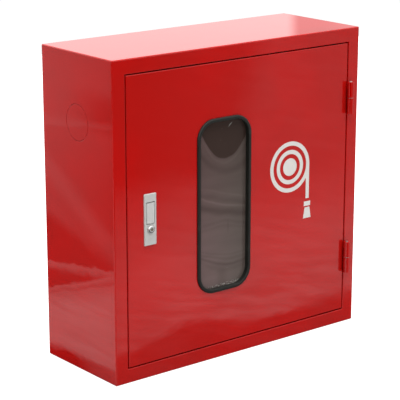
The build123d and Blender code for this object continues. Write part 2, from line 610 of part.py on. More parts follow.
# Stub axle pressed into the socket, reduced at the front for the nut.
with BuildPart() as reel_axle:
    with BuildSketch(facing(RACK_FACE)):
        with at_reel():
            Circle(AXLE_RADIUS)
    extrude(amount=WASHER_START - RACK_FACE)
    with BuildSketch(facing(WASHER_START)):
        with at_reel():
            Circle(AXLE_END_RADIUS)
    extrude(amount=AXLE_END_LENGTH)
    chamfer(reel_axle.edges().group_by(Axis.Y)[0], length=1)
save(reel_axle, "reel_axle")

# Hub: an outer drum, an inner sleeve for the bushes, and a web at each end.
with BuildPart() as reel_hub:
    with BuildSketch(facing(HUB_BACK)):
        with at_reel():
            Circle(HUB_RADIUS)
            Circle(BUSH_RADIUS, mode=Mode.SUBTRACT)
    extrude(amount=HUB_FRONT - HUB_BACK)
    with BuildSketch(facing(HUB_BACK + HUB_WEB)):
        with at_reel():
            Circle(HUB_RADIUS - HUB_DRUM)
            Circle(BUSH_RADIUS + HUB_WEB, mode=Mode.SUBTRACT)
    extrude(amount=HUB_FRONT - HUB_BACK - 2 * HUB_WEB, mode=Mode.SUBTRACT)
    with BuildSketch(facing(HUB_BACK)):
        with at_reel(), screw_places():
            Circle(SCREW_RADIUS)
    extrude(amount=HUB_FRONT - HUB_BACK, mode=Mode.SUBTRACT)
save(reel_hub, "reel_hub")

# Flanged nylon bushes, one in each end of the hub.
with BuildPart() as reel_bushes:
    for sleeve_start, flange_start in (
        (HUB_BACK, HUB_BACK - BUSH_FLANGE),
        (HUB_FRONT - BUSH_LENGTH, HUB_FRONT),
    ):
        with BuildSketch(facing(sleeve_start)):
            with at_reel():
                Circle(BUSH_RADIUS)
        extrude(amount=BUSH_LENGTH)
        with BuildSketch(facing(flange_start)):
            with at_reel():
                Circle(BUSH_FLANGE_RADIUS)
        extrude(amount=BUSH_FLANGE)
    with BuildSketch(facing(HUB_BACK - BUSH_FLANGE)):
        with at_reel():
            Circle(AXLE_RADIUS + RUNNING)
    extrude(amount=HUB_FRONT - HUB_BACK + 2 * BUSH_FLANGE, mode=Mode.SUBTRACT)
save(reel_bushes, "reel_bushes")


def reel_flange(back):
    """One spoked side of the reel, its back face at that depth."""
    spoke_start = SPOKE_BOSS_RADIUS - 4
    spoke_length = FLANGE_RADIUS - FLANGE_RIM / 2 - 3 - spoke_start
    with BuildPart(mode=Mode.PRIVATE) as flange:
        with BuildSketch(facing(back)):
            with at_reel():
                Circle(FLANGE_RADIUS)
                Circle(FLANGE_RADIUS - FLANGE_RIM, mode=Mode.SUBTRACT)
                Circle(SPOKE_BOSS_RADIUS)
                with PolarLocations(0, SPOKES, start_angle=30):
                    with Locations((spoke_start + spoke_length / 2, 0)):
                        Rectangle(spoke_length, SPOKE_WIDTH)
        extrude(amount=FLANGE_THICKNESS)
        inside_corners = [
            e
            for e in flange.edges().filter_by(Axis.Y)
            if e.length < FLANGE_THICKNESS + 0.01
        ]
        fillet(inside_corners, radius=SPOKE_FILLET)
        with BuildSketch(facing(back)):
            with at_reel():
                Circle(BUSH_FLANGE_RADIUS + 0.2)
                with screw_places():
                    Circle(SCREW_RADIUS)
        extrude(amount=FLANGE_THICKNESS, mode=Mode.SUBTRACT)
    return flange.part


for name, back in (("rear", HUB_BACK - FLANGE_THICKNESS), ("front", HUB_FRONT)):
    with BuildPart() as spoked_flange:
        add(reel_flange(back))
    save(spoked_flange, f"reel_{name}_flange")

# Button-head screws that hold the flanges to the hub.
with BuildPart() as flange_screws:
    for outer, inward in ((HUB_BACK - FLANGE_THICKNESS, 1), (HUB_FRONT + FLANGE_THICKNESS, -1)):
        with BuildSketch(facing(outer)):
            with at_reel(), screw_places():
                Circle(SCREW_RADIUS)
        extrude(amount=inward * 6)
        with BuildSketch(facing(outer)):
            with at_reel(), screw_places():
                Circle(SCREW_HEAD_RADIUS)
        extrude(amount=-inward * 2)
save(flange_screws, "flange_screws")

with BuildPart() as axle_washer:
    with BuildSketch(facing(WASHER_START)):
        with at_reel():
            Circle(16)
            Circle(AXLE_END_RADIUS, mode=Mode.SUBTRACT)
    extrude(amount=WASHER_THICKNESS)
save(axle_washer, "axle_washer")

with BuildPart() as axle_nut:
    with BuildSketch(facing(WASHER_START + WASHER_THICKNESS)):
        with at_reel():
            RegularPolygon(12, 6, major_radius=False)
            Circle(AXLE_END_RADIUS, mode=Mode.SUBTRACT)
    extrude(amount=10)
save(axle_nut, "axle_nut")

# Twenty metres of lay-flat hose, doubled and rolled onto the hub.
with BuildPart() as hose_roll:
    with BuildSketch(facing(REEL_DEPTH - HOSE_WIDTH / 2)):
        with at_reel():
            Circle(ROLL_RADIUS)
            Circle(HUB_RADIUS + 0.5, mode=Mode.SUBTRACT)
    extrude(amount=HOSE_WIDTH)
save(hose_roll, "hose_roll")

# ================================================================ hose ends and couplings
# Distances along a coupling, from the end of its hose tail
CUFF_LENGTH, LONGEST_OPENING, FLAT_RUN = 30, 70, 45
BAND_START, BAND_END, BAND_THICKNESS = 8, 21, 1.2
WORM_WIDTH, WORM_HEIGHT, WORM_LENGTH = 14, 7, 15
FLANGE_PLAY = 0.2
SHANK_FLANGE_START, SHANK_FLANGE_END = 38, 42
THREAD_START = SHANK_FLANGE_END + 3
SHANK_BORE = 16.5
NUT_START, NUT_END, NUT_RADIUS = 34.5, 63, 31
NUT_LUG_START, NUT_LUG_LENGTH, NUT_LUG_SPAN, NUT_LUG_WIDTH = 43, 14, 74, 12

VALVE_COUPLING = Plane(
    origin=(VALVE_X, -PIPE_DEPTH, VALVE_OUTLET_Z - THREAD_START), x_dir=(1, 0, 0), z_dir=(0, 0, 1)
)
NOZZLE_COUPLING = Plane(origin=(NOZZLE_START_X, -REEL_DEPTH, NOZZLE_Z), x_dir=(0, 0, 1), z_dir=(1, 0, 0))
COUPLINGS = {"valve": VALVE_COUPLING, "nozzle": NOZZLE_COUPLING}
FLAT_CORNER = HOSE_THICKNESS / 2 - 0.01
ROUND_CORNER = HOSE_ROUND_RADIUS - 0.01

# Each end of the hose leaves the roll flat, opens out to round and is pushed over a coupling's tail.
for name, coupling, roll_axis_distance in (
    ("valve", VALVE_COUPLING, VALVE_OUTLET_Z - THREAD_START - REEL_Z),
    ("nozzle", NOZZLE_COUPLING, NOZZLE_START_X - REEL_X),
):
    opening_length = min(LONGEST_OPENING, roll_axis_distance - FLAT_RUN)
    with BuildPart() as end_hose:
        with BuildSketch(coupling.offset(-roll_axis_distance)):
            RectangleRounded(HOSE_THICKNESS, HOSE_WIDTH, FLAT_CORNER)
        extrude(amount=roll_axis_distance - opening_length)
        with BuildSketch(coupling.offset(-opening_length)):
            RectangleRounded(HOSE_THICKNESS, HOSE_WIDTH, FLAT_CORNER)
        with BuildSketch(coupling):
            RectangleRounded(2 * HOSE_ROUND_RADIUS, 2 * HOSE_ROUND_RADIUS, ROUND_CORNER)
        loft()
        rod(coupling, 0, CUFF_LENGTH, HOSE_ROUND_RADIUS)
        rod(coupling, 0, CUFF_LENGTH, SHANK_RADIUS, mode=Mode.SUBTRACT)
    save(end_hose, f"{name}_end_hose")

# Tailpieces of the two swivel couplings, one in each end of the hose.
with BuildPart() as coupling_shanks:
    for coupling in COUPLINGS.values():
        rod(coupling, 0, SHANK_FLANGE_START, SHANK_RADIUS)
        rod(coupling, SHANK_FLANGE_START, SHANK_FLANGE_END, OUTLET_RADIUS - FLANGE_PLAY)
        rod(coupling, 0, SHANK_FLANGE_END, SHANK_BORE, mode=Mode.SUBTRACT)
save(coupling_shanks, "coupling_shanks")


def coupling_nut(coupling):
    """A lugged nut that turns on the flange of that coupling's tailpiece."""
    with BuildPart(mode=Mode.PRIVATE) as nut:
        rod(coupling, NUT_START, NUT_END, NUT_RADIUS)
        chamfer(nut.edges().filter_by(GeomType.CIRCLE), length=1.5)
        with BuildSketch(coupling.offset(NUT_LUG_START)):
            Rectangle(NUT_LUG_SPAN, NUT_LUG_WIDTH)
        extrude(amount=NUT_LUG_LENGTH)
        rod(coupling, NUT_START, SHANK_FLANGE_START, SHANK_RADIUS + RUNNING, mode=Mode.SUBTRACT)
        rod(coupling, SHANK_FLANGE_START, NUT_END, OUTLET_RADIUS, mode=Mode.SUBTRACT)
    return nut.part


with BuildPart() as coupling_nuts:
    for coupling in COUPLINGS.values():
        add(coupling_nut(coupling))
save(coupling_nuts, "coupling_nuts")

# Worm-drive bands that hold the hose on the two tailpieces.
with BuildPart() as hose_bands:
    for coupling in COUPLINGS.values():
        rod(coupling, BAND_START, BAND_END, HOSE_ROUND_RADIUS + BAND_THICKNESS)
        with BuildSketch(coupling.offset(BAND_START - 1)):
            with Locations((0, 1 - HOSE_ROUND_RADIUS - WORM_HEIGHT / 2)):
                Rectangle(WORM_WIDTH, WORM_HEIGHT)
        extrude(amount=WORM_LENGTH)
        rod(coupling, 0, CUFF_LENGTH, HOSE_ROUND_RADIUS, mode=Mode.SUBTRACT)
save(hose_bands, "hose_bands")

# Flat gaskets inside the nuts.
with BuildPart() as coupling_gaskets:
    for coupling in COUPLINGS.values():
        rod(coupling, SHANK_FLANGE_END, THREAD_START, OUTLET_RADIUS - FLANGE_PLAY)
        rod(coupling, SHANK_FLANGE_END, THREAD_START, SHANK_BORE, mode=Mode.SUBTRACT)
save(coupling_gaskets, "coupling_gaskets")

# ================================================================ nozzle
# Distances along X from the nozzle's inlet
NOZZLE = NOZZLE_COUPLING.offset(THREAD_START)
SPIGOT_LENGTH, HEX_LENGTH, HEX_HALF = 22, 9, 26
BARREL_OUTER, BARREL_BORE, BARREL_END = 19, 15, 101
SPIDER_START, SPIDER_LENGTH, SPIDER_RING, SPIDER_ARM = BARREL_END - 12, 6, 2, 4
BAFFLE_STEM_RADIUS, BAFFLE_HEAD = 4, 5
SLEEVE_START, SLEEVE_END, SLEEVE_BORE_LENGTH, CONE_LENGTH = 68, 135, 44, 15
GRIP_RADIUS, NOSE_RADIUS, NOSE_START = 25, 21, SLEEVE_END - 16
FLUTES, FLUTE_CIRCLE, FLUTE_RADIUS, FLUTE_LENGTH = 12, 27.5, 4.5, 32
GROOVE_START, GROOVE_END, GROOVE_RADIUS = SLEEVE_START + 11, SLEEVE_START + 14.5, 21.5
BUMPER_RADIUS, BUMPER_LIP, BUMPER_BORE = 28, 8, 17
ORIFICE_RADIUS = 10
CLIP_START, CLIP_WIDTH, CLIP_SHEET, CLIP_FOOT = 38, 20, 2, 40

# Body: a spigot for the coupling's nut, a hexagon and a plain barrel.
with BuildPart() as nozzle_body:
    rod(NOZZLE, 0, SPIGOT_LENGTH, OUTLET_RADIUS)
    with BuildSketch(NOZZLE.offset(SPIGOT_LENGTH)):
        RegularPolygon(HEX_HALF, 6, major_radius=False)
    extrude(amount=HEX_LENGTH)
    rod(NOZZLE, SPIGOT_LENGTH + HEX_LENGTH, BARREL_END, BARREL_OUTER)
    rod(NOZZLE, 0, BARREL_END, BARREL_BORE, mode=Mode.SUBTRACT)
save(nozzle_body, "nozzle_body")

# Baffle: a three-armed spider in the barrel, a stem, and the head that closes the orifice.
with BuildPart() as nozzle_baffle:
    with BuildSketch(NOZZLE.offset(SPIDER_START)):
        Circle(BARREL_BORE)
        Circle(BARREL_BORE - SPIDER_RING, mode=Mode.SUBTRACT)
        Circle(BAFFLE_STEM_RADIUS + 2)
        with PolarLocations(0, 3):
            Rectangle(BARREL_BORE - 1, SPIDER_ARM, align=(Align.MIN, Align.CENTER))
    extrude(amount=SPIDER_LENGTH)
    rod(NOZZLE, SPIDER_START, SLEEVE_END, BAFFLE_STEM_RADIUS)
    rod(NOZZLE, SLEEVE_END, SLEEVE_END + BAFFLE_HEAD, ORIFICE_RADIUS + 1.5)
    chamfer(nozzle_baffle.edges().group_by(Axis.X)[-1], length=2)
save(nozzle_baffle, "nozzle_baffle")

# Sleeve: it turns on the barrel and draws back along it; its front rim seats on the baffle's head.
with BuildPart() as nozzle_sleeve:
    rod(NOZZLE, SLEEVE_START, NOSE_START, GRIP_RADIUS)
    chamfer(nozzle_sleeve.edges().filter_by(GeomType.CIRCLE), length=1.5)
    rod(NOZZLE, NOSE_START, SLEEVE_END, NOSE_RADIUS)
    with BuildSketch(NOZZLE.offset(SLEEVE_START + 8)):
        with PolarLocations(FLUTE_CIRCLE, FLUTES):
            Circle(FLUTE_RADIUS)
    extrude(amount=FLUTE_LENGTH, mode=Mode.SUBTRACT)
    bore_end = SLEEVE_START + SLEEVE_BORE_LENGTH
    rod(NOZZLE, SLEEVE_START, bore_end, BARREL_OUTER + RUNNING, mode=Mode.SUBTRACT)
    with Locations(NOZZLE.offset(bore_end)):
        Cone(BARREL_OUTER + RUNNING, ORIFICE_RADIUS, CONE_LENGTH, align=STANDING, mode=Mode.SUBTRACT)
    rod(NOZZLE, SLEEVE_START, SLEEVE_END, ORIFICE_RADIUS, mode=Mode.SUBTRACT)
    rod(NOZZLE, GROOVE_START, GROOVE_END, GROOVE_RADIUS, mode=Mode.SUBTRACT)
save(nozzle_sleeve, "nozzle_sleeve")

# O-ring in the sleeve's groove.
with BuildPart() as nozzle_o_ring:
    rod(NOZZLE, GROOVE_START, GROOVE_END, GROOVE_RADIUS)
    rod(NOZZLE, GROOVE_START, GROOVE_END, BARREL_OUTER + RUNNING, mode=Mode.SUBTRACT)
save(nozzle_o_ring, "nozzle_o_ring")

# Rubber bumper on the front of the sleeve.
with BuildPart() as nozzle_bumper:
    rod(NOZZLE, NOSE_START, SLEEVE_END + BUMPER_LIP, BUMPER_RADIUS)
    fillet(nozzle_bumper.edges().filter_by(GeomType.CIRCLE), radius=3)
    rod(NOZZLE, NOSE_START, SLEEVE_END, NOSE_RADIUS, mode=Mode.SUBTRACT)
    rod(NOZZLE, SLEEVE_END, SLEEVE_END + BUMPER_LIP, BUMPER_BORE, mode=Mode.SUBTRACT)
save(nozzle_bumper, "nozzle_bumper")

# Spring clip on the back panel that grips the barrel, open to the front.
with BuildPart() as nozzle_clip:
    with BuildSketch(across(NOZZLE_START_X + THREAD_START + CLIP_START)):
        with Locations((-REEL_DEPTH, NOZZLE_Z)):
            Circle(BARREL_OUTER + CLIP_SHEET)
            Circle(BARREL_OUTER, mode=Mode.SUBTRACT)
            with Locations((-BARREL_OUTER - 8, 0)):
                Rectangle(30, 28, mode=Mode.SUBTRACT)
        with Locations((-SHEET, NOZZLE_Z)):
            Rectangle(REEL_DEPTH - BARREL_OUTER - SHEET - 1, CLIP_SHEET, align=(Align.MAX, Align.CENTER))
            Rectangle(CLIP_SHEET, CLIP_FOOT, align=(Align.MAX, Align.CENTER))
    extrude(amount=CLIP_WIDTH)
save(nozzle_clip, "nozzle_clip")

# ================================================================ angle valve
VALVE = Plane(origin=(VALVE_X, -PIPE_DEPTH, PIPE_Z), x_dir=(0, 0, 1), z_dir=(1, 0, 0))
OUTLET = VALVE_COUPLING.offset(THREAD_START)
BODY_RADIUS, NECK_RADIUS, NECK_ROOT, PORT_RADIUS = 34, 30, 15, 24
SEAT = SEAT_X - VALVE_X
INLET = VALVE_INLET_X - VALVE_X
INLET_RIM, INLET_RIM_RADIUS = 8, 33
SEAT_BORE = 18
DROP, DROP_NECK, DROP_RADIUS, DROP_BORE = PIPE_Z - VALVE_OUTLET_Z, 22, 27, 19
PORT_FACE = -40
BONNET_FACE = PORT_FACE - 2
HEX_END = BONNET_FACE - 12
NECK_END = HEX_END - 24
GLAND_RADIUS, GLAND_NECK_RADIUS = 10, 14
BONNET_THREAD, GLAND_DEPTH, GLAND_NOSE, GLAND_CAP, GLAND_WALL = 12, 16, 6, 12, 6
BONNET_HEX_HALF, GLAND_HEX_HALF, WHEEL_NUT_HALF = 29, 17, 8
DISC_BACK, DISC_FACE, DISC_BOSS_BACK, STEM_END = SEAT - 11, SEAT - 3, SEAT - 19, SEAT - 9
DISC_RADIUS, DISC_BOSS_RADIUS, SEAT_WASHER_RADIUS = 21, 11, 20
WHEEL = WHEEL_X - VALVE_X
RIM_RADIUS, SPOKE_RADIUS, WHEEL_HUB_RADIUS = 4.5, 3.2, 12
WHEEL_HUB_START, WHEEL_HUB_END = WHEEL - 4, WHEEL + 8
STEM_TIP, STEM_TIP_RADIUS = WHEEL - 14, STEM_RADIUS - 1.5
WHEEL_SPOKES = 5
SADDLE_WIDTH, SADDLE_SHEET, SADDLE_HEIGHT = 20, 3, 100
SADDLE_X = VALVE_X + 32
ROD_RADIUS = 4
U_RADIUS = NECK_RADIUS + ROD_RADIUS + 0.1

# Cast body: inlet from the right, bonnet port on the left, outlet below.
with BuildPart() as valve_body:
    with Locations(VALVE):
        Sphere(BODY_RADIUS)
    rod(VALVE, NECK_ROOT, INLET, NECK_RADIUS)
    rod(VALVE, PORT_FACE, -NECK_ROOT, NECK_RADIUS)
    rod(OUTLET, DROP_NECK, DROP, DROP_RADIUS)
    rod(VALVE, INLET - INLET_RIM, INLET, INLET_RIM_RADIUS)
    rod(OUTLET, 0, DROP_NECK, OUTLET_RADIUS)
    rod(VALVE, PORT_FACE, SEAT, PORT_RADIUS, mode=Mode.SUBTRACT)
    rod(VALVE, SEAT, INLET, SEAT_BORE, mode=Mode.SUBTRACT)
    rod(VALVE, INLET - THREAD_LENGTH, INLET, THREAD_BORE_RADIUS, mode=Mode.SUBTRACT)
    rod(OUTLET, 0, DROP, DROP_BORE, mode=Mode.SUBTRACT)
save(valve_body, "valve_body")

# Ring between the port's face and the bonnet.
with BuildPart() as bonnet_gasket:
    rod(VALVE, BONNET_FACE, PORT_FACE, NECK_RADIUS)
    rod(VALVE, BONNET_FACE, PORT_FACE, PORT_RADIUS, mode=Mode.SUBTRACT)
save(bonnet_gasket, "bonnet_gasket")

# Bonnet: screwed into the port, with a hexagon and a neck for the gland.
with BuildPart() as valve_bonnet:
    rod(VALVE, BONNET_FACE, PORT_FACE + BONNET_THREAD, PORT_RADIUS)
    with BuildSketch(VALVE.offset(HEX_END)):
        RegularPolygon(BONNET_HEX_HALF, 6, major_radius=False)
    extrude(amount=BONNET_FACE - HEX_END)
    rod(VALVE, NECK_END, HEX_END, GLAND_NECK_RADIUS)
    rod(VALVE, NECK_END, PORT_FACE + BONNET_THREAD, STEM_RADIUS + RUNNING, mode=Mode.SUBTRACT)
    rod(VALVE, NECK_END, NECK_END + GLAND_DEPTH, GLAND_RADIUS, mode=Mode.SUBTRACT)
save(valve_bonnet, "valve_bonnet")

# Packing at the bottom of the gland.
with BuildPart() as gland_packing:
    rod(VALVE, NECK_END + GLAND_NOSE, NECK_END + GLAND_DEPTH, GLAND_RADIUS)
    rod(VALVE, NECK_END + GLAND_NOSE, NECK_END + GLAND_DEPTH, STEM_RADIUS + RUNNING, mode=Mode.SUBTRACT)
save(gland_packing, "gland_packing")

# Gland nut: a cap on the bonnet's neck with a nose that presses the packing.
with BuildPart() as gland_nut:
    with BuildSketch(VALVE.offset(NECK_END - GLAND_WALL)):
        RegularPolygon(GLAND_HEX_HALF, 6, major_radius=False)
    extrude(amount=GLAND_WALL + GLAND_CAP)
    rod(VALVE, NECK_END, NECK_END + GLAND_CAP, GLAND_NECK_RADIUS, mode=Mode.SUBTRACT)
    rod(VALVE, NECK_END - GLAND_WALL, NECK_END + GLAND_NOSE, GLAND_RADIUS - 0.1)
    rod(VALVE, NECK_END - GLAND_WALL, NECK_END + GLAND_NOSE, STEM_RADIUS + RUNNING, mode=Mode.SUBTRACT)
save(gland_nut, "gland_nut")

# Stem: its right end turns in the disc's boss, and its left end carries the handwheel.
with BuildPart() as valve_stem:
    rod(VALVE, WHEEL_HUB_START, STEM_END, STEM_RADIUS)
    rod(VALVE, STEM_TIP, WHEEL_HUB_START, STEM_TIP_RADIUS)
save(valve_stem, "valve_stem")

# Disc: a plug with a boss that the stem's end sits in.
with BuildPart() as valve_disc:
    rod(VALVE, DISC_BACK, DISC_FACE, DISC_RADIUS)
    rod(VALVE, DISC_BOSS_BACK, DISC_BACK, DISC_BOSS_RADIUS)
    rod(VALVE, DISC_BOSS_BACK, STEM_END + RUNNING, STEM_RADIUS + RUNNING, mode=Mode.SUBTRACT)
save(valve_disc, "valve_disc")

# Rubber washer on the disc, that closes the seat.
with BuildPart() as seat_washer:
    rod(VALVE, DISC_FACE, SEAT, SEAT_WASHER_RADIUS)
save(seat_washer, "seat_washer")

# Handwheel: a round rim on five spokes.
with BuildPart() as handwheel:
    with Locations(VALVE.offset(WHEEL)):
        Torus(WHEEL_RADIUS, RIM_RADIUS)
    rod(VALVE, WHEEL_HUB_START, WHEEL_HUB_END, WHEEL_HUB_RADIUS)
    for spoke in range(WHEEL_SPOKES):
        angle = radians(360 / WHEEL_SPOKES * spoke)
        spoke_axis = Plane(origin=VALVE.offset(WHEEL).origin, z_dir=(0, cos(angle), sin(angle)))
        rod(spoke_axis, WHEEL_HUB_RADIUS - 4, WHEEL_RADIUS - 1, SPOKE_RADIUS)
    rod(VALVE, WHEEL_HUB_START, WHEEL_HUB_END, STEM_RADIUS, mode=Mode.SUBTRACT)
save(handwheel, "handwheel")

# Nut on the stem's tip.
with BuildPart() as handwheel_nut:
    with BuildSketch(VALVE.offset(STEM_TIP + 2)):
        RegularPolygon(WHEEL_NUT_HALF, 6, major_radius=False)
    extrude(amount=WHEEL_HUB_START - STEM_TIP - 2)
    rod(VALVE, STEM_TIP + 2, WHEEL_HUB_START, STEM_TIP_RADIUS, mode=Mode.SUBTRACT)
save(handwheel_nut, "handwheel_nut")

U_NUT_LENGTH = 6.5
U_PLANE = across(SADDLE_X)
PLATE_BACK = PIPE_DEPTH - NECK_RADIUS - SADDLE_SHEET

# Saddle: a channel welded to the back panel, with a plate behind the valve's inlet neck.
with BuildPart() as valve_saddle:
    with BuildSketch(Plane.XY.offset(PIPE_Z)):
        with Locations((SADDLE_X, -SHEET)):
            Rectangle(SADDLE_WIDTH, PLATE_BACK + SADDLE_SHEET - SHEET, align=(Align.CENTER, Align.MAX))
            Rectangle(
                SADDLE_WIDTH - 2 * SADDLE_SHEET,
                PLATE_BACK - SHEET,
                align=(Align.CENTER, Align.MAX),
                mode=Mode.SUBTRACT,
            )
    extrude(amount=SADDLE_HEIGHT / 2, both=True)
    with BuildSketch(facing(PLATE_BACK)):
        with Locations((SADDLE_X, PIPE_Z)):
            with GridLocations(1, 2 * U_RADIUS, 1, 2):
                Circle(ROD_RADIUS + 0.3)
    extrude(amount=SADDLE_SHEET, mode=Mode.SUBTRACT)
save(valve_saddle, "valve_saddle")

# U-bolt around the inlet neck, and its nuts behind the saddle's plate.
with BuildPart() as valve_u_bolt:
    with BuildLine(U_PLANE):
        leg_end = -(PLATE_BACK - U_NUT_LENGTH - 4)
        Line((leg_end, PIPE_Z - U_RADIUS), (-PIPE_DEPTH, PIPE_Z - U_RADIUS))
        ThreePointArc(
            (-PIPE_DEPTH, PIPE_Z - U_RADIUS),
            (-PIPE_DEPTH - U_RADIUS, PIPE_Z),
            (-PIPE_DEPTH, PIPE_Z + U_RADIUS),
        )
        Line((-PIPE_DEPTH, PIPE_Z + U_RADIUS), (leg_end, PIPE_Z + U_RADIUS))
    leg_foot = (SADDLE_X, leg_end, PIPE_Z - U_RADIUS)
    with BuildSketch(Plane(origin=leg_foot, z_dir=(0, -1, 0))):
        Circle(ROD_RADIUS)
    sweep()
save(valve_u_bolt, "valve_u_bolt")

with BuildPart() as u_bolt_nuts:
    with BuildSketch(facing(PLATE_BACK - U_NUT_LENGTH)):
        with Locations((SADDLE_X, PIPE_Z)):
            with GridLocations(1, 2 * U_RADIUS, 1, 2):
                RegularPolygon(6.5, 6, major_radius=False, rotation=30)
                Circle(ROD_RADIUS, mode=Mode.SUBTRACT)
    extrude(amount=U_NUT_LENGTH)
save(u_bolt_nuts, "u_bolt_nuts")
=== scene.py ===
"""Looks of the red wall cabinet and the rolled hose inside it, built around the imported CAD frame."""

import json
import math

import bpy
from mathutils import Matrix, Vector, noise


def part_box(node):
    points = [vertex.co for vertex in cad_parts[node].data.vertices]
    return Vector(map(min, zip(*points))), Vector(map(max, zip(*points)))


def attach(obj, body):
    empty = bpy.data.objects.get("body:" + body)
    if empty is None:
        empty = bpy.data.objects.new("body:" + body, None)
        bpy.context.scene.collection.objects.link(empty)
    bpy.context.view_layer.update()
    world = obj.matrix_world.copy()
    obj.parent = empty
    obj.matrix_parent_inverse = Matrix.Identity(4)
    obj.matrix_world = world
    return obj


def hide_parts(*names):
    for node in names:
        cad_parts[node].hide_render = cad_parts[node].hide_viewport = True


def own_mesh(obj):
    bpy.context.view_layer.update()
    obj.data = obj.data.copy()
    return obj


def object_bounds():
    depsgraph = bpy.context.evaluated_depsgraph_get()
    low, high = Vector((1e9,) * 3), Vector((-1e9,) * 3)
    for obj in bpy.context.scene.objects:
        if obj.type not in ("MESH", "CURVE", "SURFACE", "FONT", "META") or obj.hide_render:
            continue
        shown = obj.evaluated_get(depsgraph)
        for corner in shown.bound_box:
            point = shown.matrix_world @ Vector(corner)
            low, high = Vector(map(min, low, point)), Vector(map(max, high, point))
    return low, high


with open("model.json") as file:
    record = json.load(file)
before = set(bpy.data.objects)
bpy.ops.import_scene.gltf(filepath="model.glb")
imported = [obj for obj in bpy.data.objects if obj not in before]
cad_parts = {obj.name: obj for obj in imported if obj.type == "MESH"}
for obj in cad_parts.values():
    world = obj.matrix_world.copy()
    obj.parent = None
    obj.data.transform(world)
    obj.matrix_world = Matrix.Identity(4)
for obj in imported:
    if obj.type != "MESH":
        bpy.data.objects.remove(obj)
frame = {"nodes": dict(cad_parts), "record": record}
cad_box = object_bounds()

MM = 0.001
MICRON = 0.001 * MM
TURN = 2 * math.pi


# ================================================================ node helpers
class Graph:
    """A node tree, and short calls for the nodes that work a value out."""

    def __init__(self, tree):
        self.nodes, self.links = tree.nodes, tree.links

    def feed(self, socket, value):
        """Sets a socket to a number, a colour or another node's output."""
        if isinstance(value, bpy.types.NodeSocket):
            self.links.new(value, socket)
        elif isinstance(value, (tuple, list)) and len(value) == 3 and socket.type == "RGBA":
            socket.default_value = (*value, 1)
        else:
            socket.default_value = value

    def node(self, kind, **settings):
        made = self.nodes.new(kind)
        for key, value in settings.items():
            setattr(made, key, value)
        return made

    def maths(self, operation, a, b=0.0):
        made = self.node("ShaderNodeMath", operation=operation)
        self.feed(made.inputs[0], a)
        self.feed(made.inputs[1], b)
        return made.outputs[0]

    def add(self, a, b):
        return self.maths("ADD", a, b)

    def minus(self, a, b):
        return self.maths("SUBTRACT", a, b)

    def times(self, a, b):
        return self.maths("MULTIPLY", a, b)

    def remap(self, value, low, high, to_low=0.0, to_high=1.0, smooth=True):
        """A value whose range low..high becomes to_low..to_high, and which stays there outside it."""
        made = self.node("ShaderNodeMapRange", interpolation_type="SMOOTHSTEP" if smooth else "LINEAR")
        self.feed(made.inputs["Value"], value)
        self.feed(made.inputs["From Min"], low)
        self.feed(made.inputs["From Max"], high)
        self.feed(made.inputs["To Min"], to_low)
        self.feed(made.inputs["To Max"], to_high)
        return made.outputs["Result"]

    def blend(self, factor, a, b):
        """A number between a and b."""
        made = self.node("ShaderNodeMix", data_type="FLOAT")
        self.feed(made.inputs["Factor"], factor)
        self.feed(made.inputs[2], a)
        self.feed(made.inputs[3], b)
        return made.outputs[0]

    def mix(self, factor, a, b):
        """A colour between a and b."""
        made = self.node("ShaderNodeMix", data_type="RGBA")
        self.feed(made.inputs["Factor"], factor)
        self.feed(made.inputs[6], a)
        self.feed(made.inputs[7], b)
        return made.outputs[2]

    def parts(self, vector):
        """The three numbers of a vector."""
        made = self.node("ShaderNodeSeparateXYZ")
        self.links.new(vector, made.inputs[0])
        return made.outputs

    def noise_at(self, vector, scale, detail, roughness=0.5, distortion=0.0):
        made = self.node("ShaderNodeTexNoise")
        self.links.new(vector, made.inputs["Vector"])
        made.inputs["Scale"].default_value = scale
        made.inputs["Detail"].default_value = detail
        made.inputs["Roughness"].default_value = roughness
        made.inputs["Distortion"].default_value = distortion
        return made.outputs["Fac"]


class Shader(Graph):
    """One material: a Principled shader, and patterns in the object's own coordinates that feed it."""

    def __init__(self, name):
        self.material = bpy.data.materials.new(name)
        self.material.use_nodes = True
        super().__init__(self.material.node_tree)
        self.surface = self.nodes["Principled BSDF"]
        self.place = self.node("ShaderNodeTexCoord").outputs["Object"]

    def set(self, **values):
        """Feeds the Principled shader's sockets, with underscores for spaces in their names."""
        for name, value in values.items():
            self.feed(self.surface.inputs[name.replace("_", " ")], value)
        return self

    def noise(self, scale, detail=2.0, roughness=0.5, stretch=(1, 1, 1), distortion=0.0):
        mapping = self.node("ShaderNodeMapping")
        self.feed(mapping.inputs["Vector"], self.place)
        mapping.inputs["Scale"].default_value = stretch
        return self.noise_at(mapping.outputs["Vector"], scale, detail, roughness, distortion)

    def cells(self, scale):
        """Distance to the nearest of many scattered points."""
        texture = self.node("ShaderNodeTexVoronoi")
        self.feed(texture.inputs["Vector"], self.place)
        texture.inputs["Scale"].default_value = scale
        return texture.outputs["Distance"]

    def soft_edges(self, radius):
        """A normal that rounds the shape's sharp edges."""
        bevel = self.node("ShaderNodeBevel", samples=4)
        bevel.inputs["Radius"].default_value = radius
        return bevel.outputs["Normal"]

    def bump(self, height, depth, normal=None):
        """A normal from a height map whose full range stands for that depth in metres."""
        made = self.node("ShaderNodeBump")
        made.inputs["Distance"].default_value = depth
        self.feed(made.inputs["Height"], height)
        if normal is not None:
            self.feed(made.inputs["Normal"], normal)
        return made.outputs["Normal"]


# ================================================================ materials
DIRT_BROWN = (0.05, 0.03, 0.025)


